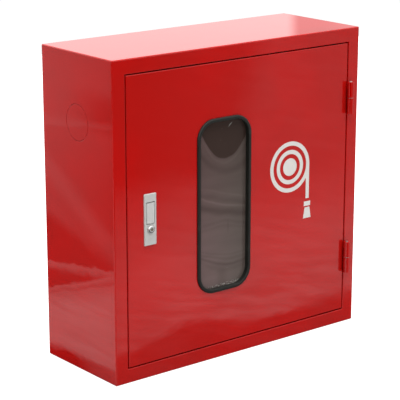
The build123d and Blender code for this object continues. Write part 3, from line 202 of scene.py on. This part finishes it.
def paint(name="red_powder_coat", colour=(0.430, 0.0040, 0.0028), worn=(0.392, 0.0052, 0.0036)):
    """Gloss powder coat on thin sheet: slow waves, orange peel, faint scuffs and specks of dirt."""
    m = Shader(name)
    clouds = m.noise(7, detail=3)
    scuffs = m.remap(m.noise(60, detail=6, roughness=0.7, stretch=(1, 1, 0.35)), 0.66, 0.80)
    colour = m.mix(m.remap(clouds, 0.35, 0.65), colour, worn)
    dirt = m.remap(m.cells(13), 0.022, 0.012)
    colour = m.mix(m.times(dirt, 0.5), colour, DIRT_BROWN)
    rough = m.add(m.remap(clouds, 0.3, 0.7, 0.008, 0.020), m.times(scuffs, 0.05))
    sheet_waves = m.noise(11, detail=2, stretch=(1, 1, 1.8))
    dimples = m.noise(70, detail=2, stretch=(0.6, 0.6, 1.5))
    orange_peel = m.noise(330, detail=2)
    normal = m.bump(sheet_waves, 50 * MICRON, m.soft_edges(0.8 * MM))
    normal = m.bump(dimples, 2 * MICRON, normal)
    normal = m.bump(orange_peel, 0.4 * MICRON, normal)
    return m.set(Base_Color=colour, Roughness=rough, Normal=normal, IOR=1.5).material


def rubber(name="gasket_rubber", colour=(0.009, 0.010, 0.008), rough=0.34):
    m = Shader(name)
    grain = m.noise(900, detail=3)
    dust = m.remap(m.noise(45, detail=5, roughness=0.7), 0.52, 0.75)
    colour = m.mix(dust, colour, tuple(2.0 * c + 0.002 for c in colour))
    rough = m.add(m.times(dust, 0.2), rough)
    return m.set(
        Base_Color=colour, Roughness=rough, Specular_IOR_Level=0.40, Normal=m.bump(grain, 30 * MICRON)
    ).material


def smoked_pane():
    """Tinted acrylic, slightly warped and dusty, with painted reflections: a dark patch at the top, and
    curved light and dark bands.
    """
    m = Shader("smoked_acrylic")
    low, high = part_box("window_pane")
    x, _, z = m.parts(m.place)
    u = m.remap(x, low.x, high.x, smooth=False)
    middle = (low.x + high.x) / 2

    def curve(at_middle, rise, tilt=0.0):
        """Height above a line that is a parabola across the pane, open at the top when rise is positive."""
        off = m.minus(u, 0.5)
        bow = m.times(m.times(off, off), rise)
        lean = m.times(off, tilt)
        return m.minus(m.minus(m.minus(z, at_middle), bow), lean)

    def band(height, width):
        """1 on the line, fading to 0 at that distance to either side."""
        return m.remap(m.maths("ABSOLUTE", height), 0.0, width, 1.0, 0.0)

    ripple = m.times(m.minus(m.noise(16, detail=2), 0.5), 0.012)
    z = m.add(z, ripple)
    # Painted reflection on the pane: lighter towards the bottom and darker towards the right.
    painted_reflection = m.remap(z, high.z, low.z, 0.42, 0.86, smooth=False)
    painted_reflection = m.times(painted_reflection, m.remap(u, 0.0, 1.0, 1.08, 0.84, smooth=False))
    # Painted reflection streaks: height and half-width of each line, and how much it lightens or darkens the
    # pane
    painted_reflection_streaks = (
        (band(curve(0.088, 0.26, -0.035), 0.006), 0.10),
        (band(curve(0.070, 0.14, -0.035), 0.014), -0.14),
        (band(curve(0.024, 0.0, -0.036), 0.004), 0.10),
        (band(curve(0.010, 0.0, -0.036), 0.010), -0.12),
        (band(curve(-0.0005, 0.024, -0.0375), 0.004), 0.20),
        (band(curve(-0.0155, 0.01, -0.033), 0.013), -0.26),
        (band(curve(-0.036, -0.05, -0.010), 0.006), -0.09),
        (band(curve(-0.0465, -0.045, -0.008), 0.005), -0.07),
        (band(curve(-0.108, 0.04, -0.022), 0.004), -0.10),
        (band(curve(-0.116, 0.04, -0.0225), 0.005), -0.12),
        (band(curve(-0.128, 0.06, -0.024), 0.006), -0.24),
        (band(curve(-0.140, 0.08, -0.024), 0.010), -0.10),
    )
    for amount, weight in painted_reflection_streaks:
        painted_reflection = m.add(painted_reflection, m.times(amount, weight))
    # A painted darker dip in the reflection, in the middle below the lowest streaks.
    reflection_trough = m.times(band(m.minus(x, middle), 22 * MM), m.remap(z, -0.125, -0.150))
    painted_reflection = m.minus(painted_reflection, m.times(reflection_trough, 0.16))
    smears = m.noise(13, detail=3, stretch=(0.4, 1, 2.4))
    painted_reflection = m.times(painted_reflection, m.remap(smears, 0.3, 0.7, 0.9, 1.1))
    # A painted dark reflection over the top of the pane, above a curved edge.
    clear = m.remap(curve(0.095, 0.26, -0.035), -0.001, 0.003)
    painted_reflection = m.times(painted_reflection, m.remap(clear, 0.0, 1.0, 1.0, 0.12, smooth=False))
    # Colour of the painted reflection, pinker on the left and greyer on the right; dark_tint is the pane's
    # own colour.
    reflection_tint = m.mix(u, (0.142, 0.090, 0.088), (0.122, 0.102, 0.090))
    dark_tint, pale_dust = (0.030, 0.017, 0.013), (0.42, 0.42, 0.38)
    colour = m.mix(painted_reflection, dark_tint, reflection_tint)
    dust = m.remap(m.cells(150), 0.055, 0.030)
    dust = m.times(dust, m.remap(m.noise(40, detail=1), 0.56, 0.60))
    crumbs = m.remap(m.noise(420, detail=2), 0.52, 0.60)
    edge = m.times(m.remap(z, low.z + 12 * MM, low.z + 6 * MM), crumbs)
    dust = m.maths("MAXIMUM", m.times(dust, 0.5), m.times(edge, 0.8))
    colour = m.mix(dust, colour, pale_dust)

    # An upright dark scratch below the middle, and a slanted pale one near the top
    dark_scratch, pale_scratch = (0.015, 0.010, 0.010), (0.45, 0.45, 0.42)
    beside = m.minus(x, middle + 16 * MM)
    scratch = m.times(band(beside, 0.7 * MM), 0.8)
    scratch = m.times(scratch, band(m.add(z, 50 * MM), 20 * MM))
    colour = m.mix(scratch, colour, dark_scratch)
    beside = m.minus(x, middle + 21 * MM)
    slant = m.minus(m.minus(z, 163 * MM), beside)
    scratch = m.times(band(slant, 1.3 * MM), band(beside, 6.5 * MM))
    colour = m.mix(scratch, colour, pale_scratch)
    normal = m.bump(m.noise(9, detail=1, stretch=(0.5, 1, 1.6), distortion=0.5), 100 * MICRON)
    return m.set(Base_Color=colour, Roughness=0.12, Specular_IOR_Level=0.2, Normal=normal).material


def vinyl():
    """White screen-printed film, slightly yellowed and speckled."""
    m = Shader("white_vinyl")
    specks = m.remap(m.noise(380, detail=4, roughness=0.7), 0.60, 0.72)
    shade = m.mix(m.noise(14, detail=2), (0.66, 0.64, 0.61), (0.58, 0.55, 0.52))
    colour = m.mix(m.times(specks, 0.35), shade, (0.55, 0.40, 0.36))
    return m.set(Base_Color=colour, Roughness=0.36, Normal=m.bump(specks, 20 * MICRON)).material


def metal(
    name, colour, rough, dark=0.75, grain=(1, 1, 1), grain_scale=400.0,
    grain_depth=20 * MICRON, edge=0.4 * MM, bare=1.0,
):
    """A metal with grain, a little tarnish and rounded edges.

    Where bare is less than 1, it has a matt plated or lacquered surface.
    """
    m = Shader(name)
    tarnish = m.remap(m.noise(38, detail=5, roughness=0.65), 0.40, 0.70)
    lines = m.noise(grain_scale, detail=3, roughness=0.6, stretch=grain)
    tint = m.mix(m.times(tarnish, 0.6), colour, tuple(dark * c for c in colour))
    spread = m.add(m.times(tarnish, 0.12), m.times(lines, 0.10))
    normal = m.bump(lines, grain_depth, m.soft_edges(edge))
    rough = m.add(spread, rough)
    return m.set(Base_Color=tint, Metallic=bare, Roughness=rough, Normal=normal).material


def plastic(name, colour, rough=0.38):
    m = Shader(name)
    grain = m.cells(1300)
    clouds = m.noise(30, detail=3)
    colour = m.mix(m.times(clouds, 0.4), colour, tuple(0.8 * c for c in colour))
    normal = m.bump(grain, 40 * MICRON, m.soft_edges(0.4 * MM))
    return m.set(Base_Color=colour, Roughness=rough, Normal=normal).material


WARP_PITCH, WEFT_PITCH = 1.1 * MM, 1.9 * MM


def canvas():
    """Woven polyester jacket: a weave along the hose's own length and width, uneven yarn, and some dirt."""
    m = Shader("hose_canvas")
    along, around, _ = m.parts(m.node("ShaderNodeUVMap", uv_map="weave").outputs["UV"])
    warp = m.maths("SINE", m.times(around, TURN / WARP_PITCH))
    weft = m.maths("SINE", m.times(along, TURN / WEFT_PITCH))
    weave = m.remap(m.times(warp, weft), -1, 1, smooth=False)
    dirt = m.remap(m.noise(22, detail=5, roughness=0.7), 0.42, 0.72)
    yarn = m.noise(260, detail=3, stretch=(1, 0.3, 1))
    colour = m.mix(yarn, (0.66, 0.60, 0.47), (0.55, 0.49, 0.37))
    colour = m.mix(m.times(dirt, 0.45), colour, (0.34, 0.29, 0.21))
    colour = m.mix(m.times(weave, 0.35), colour, (0.30, 0.26, 0.19))
    normal = m.bump(weave, 350 * MICRON)
    return m.set(Base_Color=colour, Roughness=0.85, Sheen_Weight=0.25, Normal=normal).material


MATERIALS = {
    "red_paint": paint,
    "bright_steel": lambda: metal("bright_steel", (0.56, 0.56, 0.54), 0.26),
    "gasket_rubber": rubber,
    "smoked_acrylic": smoked_pane,
    "white_vinyl": vinyl,
    "satin_zinc": lambda: metal(
        "satin_zinc", (0.53, 0.53, 0.51), 0.32, dark=0.92, grain=(1, 1, 0.08), edge=0.7 * MM, bare=0.25
    ),
    "satin_flap": lambda: metal(
        "satin_flap", (0.60, 0.60, 0.58), 0.28, dark=0.92, grain=(1, 1, 0.06), edge=0.6 * MM, bare=0.30
    ),
    "chrome": lambda: metal("chrome", (0.80, 0.80, 0.79), 0.03, dark=0.95, grain_depth=2 * MICRON),
    "key_brass": lambda: metal("key_brass", (0.62, 0.54, 0.40), 0.22),
    "nylon": lambda: plastic("nylon", (0.26, 0.22, 0.17)),
    "hub_aluminium": lambda: metal("hub_aluminium", (0.52, 0.52, 0.53), 0.28, grain=(1, 0.1, 1)),
    "hose_canvas": canvas,
    "coupling_aluminium": lambda: metal("coupling_aluminium", (0.58, 0.58, 0.60), 0.24),
    "brass": lambda: metal(
        "cast_brass", (0.58, 0.38, 0.13), 0.26, dark=0.6, grain_scale=700, grain_depth=100 * MICRON
    ),
    "red_iron": lambda: paint("red_enamel", (0.30, 0.006, 0.005), (0.22, 0.006, 0.005)),
    "nozzle_grip": lambda: plastic("nozzle_grip", (0.016, 0.016, 0.017), 0.3),
    "bumper_rubber": lambda: rubber("bumper_rubber", (0.014, 0.014, 0.014), 0.5),
}
finishes = {name: build() for name, build in MATERIALS.items()}


def finish_cad_nodes():
    """Gives every CAD node the finish that the record's slot asks for."""
    for entry in frame["record"]["subparts"]:
        node = frame["nodes"][entry["node"]]
        for material_slot in node.material_slots:
            material_slot.material = finishes[entry["material_slot"]]


def new_piece(name, vertices, faces, body, node, material_slot):
    """A smooth mesh that rides on a body and stands for a CAD node."""
    mesh = bpy.data.meshes.new(name)
    mesh.from_pydata(vertices, [], faces)
    mesh.polygons.foreach_set("use_smooth", [True] * len(mesh.polygons))
    mesh.update()
    mesh.materials.append(finishes[material_slot])
    piece = bpy.data.objects.new(name, mesh)
    bpy.context.scene.collection.objects.link(piece)
    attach(piece, body)
    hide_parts(node)
    return piece


# ================================================================ hose
ROLL_LOW, ROLL_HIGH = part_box("hose_roll")
ROLL_CENTRE = (ROLL_LOW + ROLL_HIGH) / 2
ROLL_RADIUS = (ROLL_HIGH.x - ROLL_LOW.x) / 2
HOSE_WIDTH = ROLL_HIGH.y - ROLL_LOW.y
HUB_RADIUS = (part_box("reel_hub")[1].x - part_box("reel_hub")[0].x) / 2
LAYER = 4.4 * MM
RING_POINTS = 20
HOSE_GIRTH = 130 * MM
CUFF_RADIUS = 22.5 * MM
CUFF_LENGTH = 30 * MM
# Air between the hose and the hub, the flanges, the next layer, and the roll where an end starts and leaves
HUB_GAP, FLANGE_GAPS, LAYER_GAP, WRAP_GAP, LEAVE_GAP = 0.8 * MM, 1.6 * MM, 0.15 * MM, 0.4 * MM, 0.8 * MM


def flat_ring(width, thickness):
    """Evenly spaced points around a flat hose's cross-section: (across the width, through the thickness)."""
    straight = width - thickness
    perimeter = 2 * straight + math.pi * thickness
    points = []
    for i in range(RING_POINTS):
        along = perimeter * (i + 0.5) / RING_POINTS
        side, rest = divmod(along, perimeter / 2)
        sign = 1 - 2 * side
        if rest < straight:
            point = (sign * (rest - straight / 2), sign * thickness / 2)
        else:
            angle = math.pi / 2 - (rest - straight) / (thickness / 2)
            point = (
                sign * (straight / 2 + thickness / 2 * math.cos(angle)),
                sign * thickness / 2 * math.sin(angle),
            )
        points.append(point)
    return points


def round_ring(radius, width, thickness):
    """The same number of points around a round hose, in the same order as flat_ring."""
    straight = width - thickness
    start = math.pi / 2 + straight / (2 * straight + math.pi * thickness) * math.pi
    angles = [start - TURN * (i + 0.5) / RING_POINTS for i in range(RING_POINTS)]
    return [(radius * math.cos(angle), radius * math.sin(angle)) for angle in angles]


def sweep(name, stations, body, node):
    """A closed tube of hose through stations: each a centre, width and thickness directions, and a ring."""
    vertices, faces, weave = [], [], []
    travelled = 0.0
    last = None
    for centre, wide, thick, ring in stations:
        travelled += (centre - last).length if last is not None else 0.0
        last = centre
        for i, (w, t) in enumerate(ring):
            vertices.append(centre + wide * w + thick * t)
            weave.append((travelled, i * HOSE_GIRTH / RING_POINTS))
    rings = len(stations)
    for r in range(rings - 1):
        for i in range(RING_POINTS):
            j = (i + 1) % RING_POINTS
            base = r * RING_POINTS
            faces.append((base + i, base + j, base + RING_POINTS + j, base + RING_POINTS + i))
    faces.append(tuple(reversed(range(RING_POINTS))))
    faces.append(tuple(range((rings - 1) * RING_POINTS, rings * RING_POINTS)))
    piece = new_piece(name, vertices, faces, body, node, "hose_canvas")
    layer = piece.data.uv_layers.new(name="weave")
    for loop in piece.data.loops:
        layer.data[loop.index].uv = weave[loop.vertex_index]


def around_roll(angle, radius, sideways=0.0):
    """A point at that angle and radius about the roll's axis. Angles start at the right and grow upward."""
    return ROLL_CENTRE + Vector((radius * math.cos(angle), sideways, radius * math.sin(angle)))


def outward(angle):
    return Vector((math.cos(angle), 0, math.sin(angle)))


TOWARDS_WALL = Vector((0, 1, 0))
THICKNESS = LAYER - LAYER_GAP
FLAT = flat_ring(HOSE_WIDTH - FLANGE_GAPS, THICKNESS)


def rolled_layer(name, end_angle, outer_radius, phase):
    """One of the two layers of the doubled roll: a spiral from the hub out to its end."""
    pitch = 2 * LAYER
    steps_per_turn = 72
    wander = 0.75 * MM
    first_radius = HUB_RADIUS + HUB_GAP + LAYER / 2 + phase
    turns = (outer_radius - LAYER / 2 - first_radius) / pitch
    steps = int(turns * steps_per_turn)
    stations = []
    for step in range(steps + 1):
        share = step / steps
        angle = end_angle - TURN * turns * (1 - share)
        radius = first_radius + pitch * turns * share
        drift = noise.noise(Vector((radius * 90, angle * 0.35, phase * 900))) * wander
        stations.append((around_roll(angle, radius, drift), TOWARDS_WALL, outward(angle), FLAT))
    sweep(name, stations, "reel", "hose_roll")


def lead(name, node, start_angle, leave_angle, run, opening, sunk_start):
    """A hose end that lies on the roll, leaves it on a tangent and ends on a coupling's tail.

    It goes straight for the run, opens out to round over the last part of it, and then holds the tail for a
    cuff's length. Its first part is sunk into the roll by sunk_start.
    """
    wrap_steps, run_steps = 24, 48
    crease_depth, crease_pace = 0.5 * MM, 180
    stations = []
    wrap_radius = ROLL_RADIUS + WRAP_GAP + LAYER / 2
    leave_radius = ROLL_RADIUS + LEAVE_GAP + LAYER / 2
    for step in range(wrap_steps):
        share = step / wrap_steps
        angle = start_angle + (leave_angle - start_angle) * share
        sunk = sunk_start * max(0.0, 1 - share * 3) ** 2
        radius = wrap_radius + (leave_radius - wrap_radius) * share - sunk
        stations.append((around_roll(angle, radius), TOWARDS_WALL, outward(angle), FLAT))
    thick = outward(leave_angle)
    forward = outward(leave_angle + math.pi / 2)
    start = around_roll(leave_angle, leave_radius)
    round_section = round_ring(CUFF_RADIUS, HOSE_WIDTH, THICKNESS)
    for step in range(run_steps + 1):
        distance = (run + CUFF_LENGTH) * step / run_steps
        share = min(1.0, max(0.0, (distance - (run - opening)) / opening))
        share = share * share * (3 - 2 * share)
        ring = [
            ((1 - share) * f[0] + share * r[0], (1 - share) * f[1] + share * r[1])
            for f, r in zip(FLAT, round_section)
        ]
        crease = crease_depth * math.sin(share * math.pi) * math.sin(distance * crease_pace)
        ring = [(w, t * (1 + crease / (abs(t) + 6 * MM))) for w, t in ring]
        stations.append((start + forward * distance, TOWARDS_WALL, thick, ring))
    sweep(name, stations, "cabinet", node)


def build_hose():
    rolled_layer("hose_roll_valve_layer", 0.0, ROLL_RADIUS - 2.2 * MM, 0.0)
    rolled_layer("hose_roll_nozzle_layer", -TURN / 4, ROLL_RADIUS - 0.2 * MM, LAYER)
    valve_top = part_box("valve_end_hose")[1].z
    nozzle_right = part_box("nozzle_end_hose")[1].x
    lead(
        "hose_valve_end", "valve_end_hose", math.radians(-76), 0.0,
        run=valve_top - CUFF_LENGTH - ROLL_CENTRE.z, opening=70 * MM, sunk_start=0.0,
    )
    lead(
        "hose_nozzle_end", "nozzle_end_hose", math.radians(-150), math.radians(-90),
        run=nozzle_right - CUFF_LENGTH - ROLL_CENTRE.x, opening=40 * MM, sunk_start=4.6 * MM,
    )


# ================================================================ springs
def coil_spring(node, along, turns, wire):
    """A coil in place of a CAD spring."""
    low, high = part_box(node)
    centre = (low + high) / 2
    size = high - low
    length = size.dot(along)
    side = Vector((along.y, along.z, along.x))
    other = along.cross(side)
    radius = abs(size.dot(side)) / 2 - wire / 2
    vertices, faces = [], []
    steps_per_turn, ring = 24, 8
    steps = turns * steps_per_turn
    for step in range(steps + 1):
        share = step / steps
        angle = TURN * turns * share
        out = side * math.cos(angle) + other * math.sin(angle)
        point = centre + along * ((share - 0.5) * (length - wire)) + out * radius
        for i in range(ring):
            turn = TURN * i / ring
            vertices.append(point + (out * math.cos(turn) + along * math.sin(turn)) * wire / 2)
    for step in range(steps):
        for i in range(ring):
            j = (i + 1) % ring
            faces.append((step * ring + i, step * ring + j, (step + 1) * ring + j, (step + 1) * ring + i))
    faces.append(tuple(range(ring)))
    faces.append(tuple(reversed(range(steps * ring, (steps + 1) * ring))))
    piece = new_piece(f"{node}_coil", vertices, faces, "door", node, "bright_steel")
    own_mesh(piece)


def build_springs():
    coil_spring(
        "latch_spring", Vector((1, 0, 0)), turns=5, wire=0.5 * MM
    )
    coil_spring(
        "button_spring", Vector((0, 1, 0)), turns=4, wire=0.55 * MM
    )


# ================================================================ studio
AZIMUTH, ELEVATION, DISTANCE = math.radians(-38.7), math.radians(15.35), 3.41
FOCAL_LENGTH, SENSOR_WIDTH = 144.7, 36
BACK = Vector(
    (math.sin(AZIMUTH) * math.cos(ELEVATION), -math.cos(AZIMUTH) * math.cos(ELEVATION), math.sin(ELEVATION))
)
AIM = Vector((-0.0147, -0.12, -0.0215))
SEAT = AIM + BACK * DISTANCE
SIDE_X, FRONT_Y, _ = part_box("front_frame")[0]


def studio_world():
    """A white studio. Reflections see a bright ceiling, and walls and a floor that are uneven."""
    world = bpy.data.worlds.new("studio")
    bpy.context.scene.world = world
    world.use_nodes = True
    world.node_tree.nodes.clear()
    g = Graph(world.node_tree)
    add, minus, times, blend, step = g.add, g.minus, g.times, g.blend, g.remap

    def positive(value):
        return g.maths("ABSOLUTE", value)

    def ratio(a, b):
        return g.maths("DIVIDE", a, b)

    def cloud(across, up, stretch, scale, detail=3):
        """Noise over a pair of coordinates."""
        joined = g.node("ShaderNodeCombineXYZ")
        g.feed(joined.inputs[0], times(across, stretch[0]))
        g.feed(joined.inputs[1], times(up, stretch[1]))
        return g.noise_at(joined.outputs[0], scale, detail)

    x, y, z = g.parts(g.node("ShaderNodeTexCoord").outputs["Generated"])
    tiny = 0.001  # keeps the divisions below away from zero
    white = 1.02

    # What the front mirrors, laid out in metres on the front as the camera sees it
    reach = FRONT_Y - SEAT.y
    depth_ratio = g.maths("MAXIMUM", positive(y), tiny)
    px = add(times(ratio(x, depth_ratio), reach), SEAT.x)
    pz = add(times(ratio(z, depth_ratio), reach), SEAT.z)
    wave = times(minus(cloud(px, pz, (1, 3), 5), 0.5), 0.05)
    streaks = cloud(px, add(pz, times(px, 0.24)), (1, 9), 7, detail=4)
    front = times(step(pz, 0.06, -0.14, 0.43, 0.82), step(px, -0.31, -0.14, 0.78, 1.03))
    shade = times(step(add(pz, wave), 0.03, 0.10), step(add(px, times(pz, -0.25)), 0.02, -0.10))
    front = blend(shade, front, step(px, -0.30, -0.02, 0.07, 0.17))
    bulge = times(step(positive(minus(px, -0.13)), 0.16, 0.0), 0.034)
    bottom = step(add(minus(pz, bulge), wave), -0.252, -0.280)
    front = blend(bottom, front, 0.20)
    low_streaks = step(pz, -0.12, -0.22, 0.0, 1.0)
    faint, strong = step(streaks, 0.3, 0.7, 0.88, 1.12), step(streaks, 0.3, 0.7, 0.70, 1.22)
    front = times(front, blend(low_streaks, faint, strong))

    # What the left wall mirrors, laid out in the same way: u from the rear, 0, to the front, 1, and w upward
    reach = SIDE_X - SEAT.x
    side_ratio = g.maths("MAXIMUM", positive(x), tiny)
    dy = ratio(reach, ratio(side_ratio, depth_ratio))
    u = times(add(dy, SEAT.y), 1 / FRONT_Y)
    w = add(times(ratio(z, side_ratio), reach), SEAT.z)
    ragged = times(minus(cloud(u, w, (26, 30), 1, detail=2), 0.5), 0.016)

    def above_ragged_line(slope, height):
        """Height above a line that starts at that height at the rear and climbs towards the front."""
        return minus(add(w, ragged), add(times(u, slope), height))

    sway = times(minus(cloud(u, w, (1, 3), 2), 0.5), 0.03)
    ribs = step(cloud(u, w, (0.6, 60), 1.6, detail=2), 0.3, 0.7, 0.86, 1.14)
    side = add(step(w, 0.30, 0.02, 0.58, 0.38), times(u, -0.20))
    line = minus(add(w, times(sway, 0.2)), add(times(u, 0.030), 0.166))
    top_of_line = add(times(u, -0.020), 0.034)
    side = add(side, times(times(step(line, -0.003, 0.003), step(line, top_of_line, 0.004)), 0.15))
    patch = times(step(positive(minus(w, 0.222)), 0.055, 0.012), step(u, 0.25, 0.95))
    side = add(side, times(patch, -0.20))
    beam = minus(add(w, sway), times(minus(1.0, u), 0.13))
    side = add(side, times(step(positive(minus(beam, -0.045)), 0.045, 0.0), 0.16))
    under_beam = add(add(w, times(u, 0.065)), times(sway, 0.4))
    side = blend(step(under_beam, 0.0, -0.03), side, 0.11)
    line = above_ragged_line(0.033, -0.122)
    side = blend(times(step(line, 0.002, -0.002), step(line, -0.026, -0.003)), side, 0.60)
    line = above_ragged_line(0.083, -0.181)
    side = blend(step(line, 0.002, -0.003), side, step(line, -0.002, -0.018, 0.66, 0.36))
    line = above_ragged_line(0.080, -0.196)
    side = blend(step(line, 0.002, -0.003), side, step(line, -0.004, -0.035, 0.66, 0.90))
    line = minus(add(w, times(sway, 0.25)), add(times(times(u, u), 0.006), -0.300))
    side = blend(step(line, 0.006, -0.012), side, step(u, 0.4, 0.8, 0.04, 0.27))
    side = times(side, blend(step(w, -0.12, -0.20), 1.0, ribs))
    low = blend(step(x, -0.1, 0.1), side, front)

    # The ceiling, with a darker band towards the right
    sideways = ratio(x, depth_ratio)
    band = times(step(sideways, 0.893, 0.910), step(sideways, 1.02, 0.93, 0.6, 1.0))
    ceiling = blend(band, 1.36, 0.64)
    glossy = blend(step(z, -0.05, 0.06), low, ceiling)
    diffuse = times(step(z, 0.6, 1.0, 0.28, 6.6), add(1.0, times(x, 0.30)))

    path = g.node("ShaderNodeLightPath")
    seen = blend(path.outputs["Is Glossy Ray"], diffuse, glossy)
    seen = blend(path.outputs["Is Camera Ray"], seen, white)
    background = g.node("ShaderNodeBackground")
    g.feed(background.inputs["Color"], (1, 1, 1))
    g.feed(background.inputs["Strength"], seen)
    g.feed(g.node("ShaderNodeOutputWorld").inputs["Surface"], background.outputs[0])


def studio_floor():
    """A pale floor that glows, so that it looks white, but lights the cabinet's foot less from nearby."""
    half_width = 3.0
    height = cad_box[0][2] - 0.5 * MM
    corners = [(-1, -1), (1, -1), (1, 1), (-1, 1)]
    mesh = bpy.data.meshes.new("floor")
    mesh.from_pydata([(half_width * x, half_width * y, height) for x, y in corners], [], [(0, 1, 2, 3)])
    m = Shader("floor")
    speckle = m.mix(m.noise(3, detail=2), (0.42, 0.42, 0.42), (0.38, 0.38, 0.38))
    x, y, _ = m.parts(m.place)
    distance_squared = m.add(m.times(x, x), m.times(y, y))
    camera_ray = m.node("ShaderNodeLightPath").outputs["Is Camera Ray"]
    lighting = m.remap(distance_squared, 0.2, 1.4, 0.32, 0.72)
    glow = m.maths("MAXIMUM", lighting, m.times(camera_ray, 0.8))
    m.set(Base_Color=speckle, Roughness=1.0, Emission_Color=(1, 1, 1), Emission_Strength=glow)
    mesh.materials.append(m.material)
    floor = bpy.data.objects.new("floor", mesh)
    bpy.context.scene.collection.objects.link(floor)
    floor.visible_glossy = False


def camera():
    """A long lens, from the left, the front and a little above."""
    lens = bpy.data.cameras.new("camera")
    lens.lens = FOCAL_LENGTH
    lens.sensor_width = SENSOR_WIDTH
    seat = bpy.data.objects.new("camera", lens)
    seat.location = SEAT
    seat.rotation_euler = BACK.to_track_quat("Z", "Y").to_euler()
    bpy.context.scene.collection.objects.link(seat)
    bpy.context.scene.camera = seat


finish_cad_nodes()
build_hose()
build_springs()
studio_world()
studio_floor()
camera()
bpy.context.scene.view_settings.view_transform = "Standard"
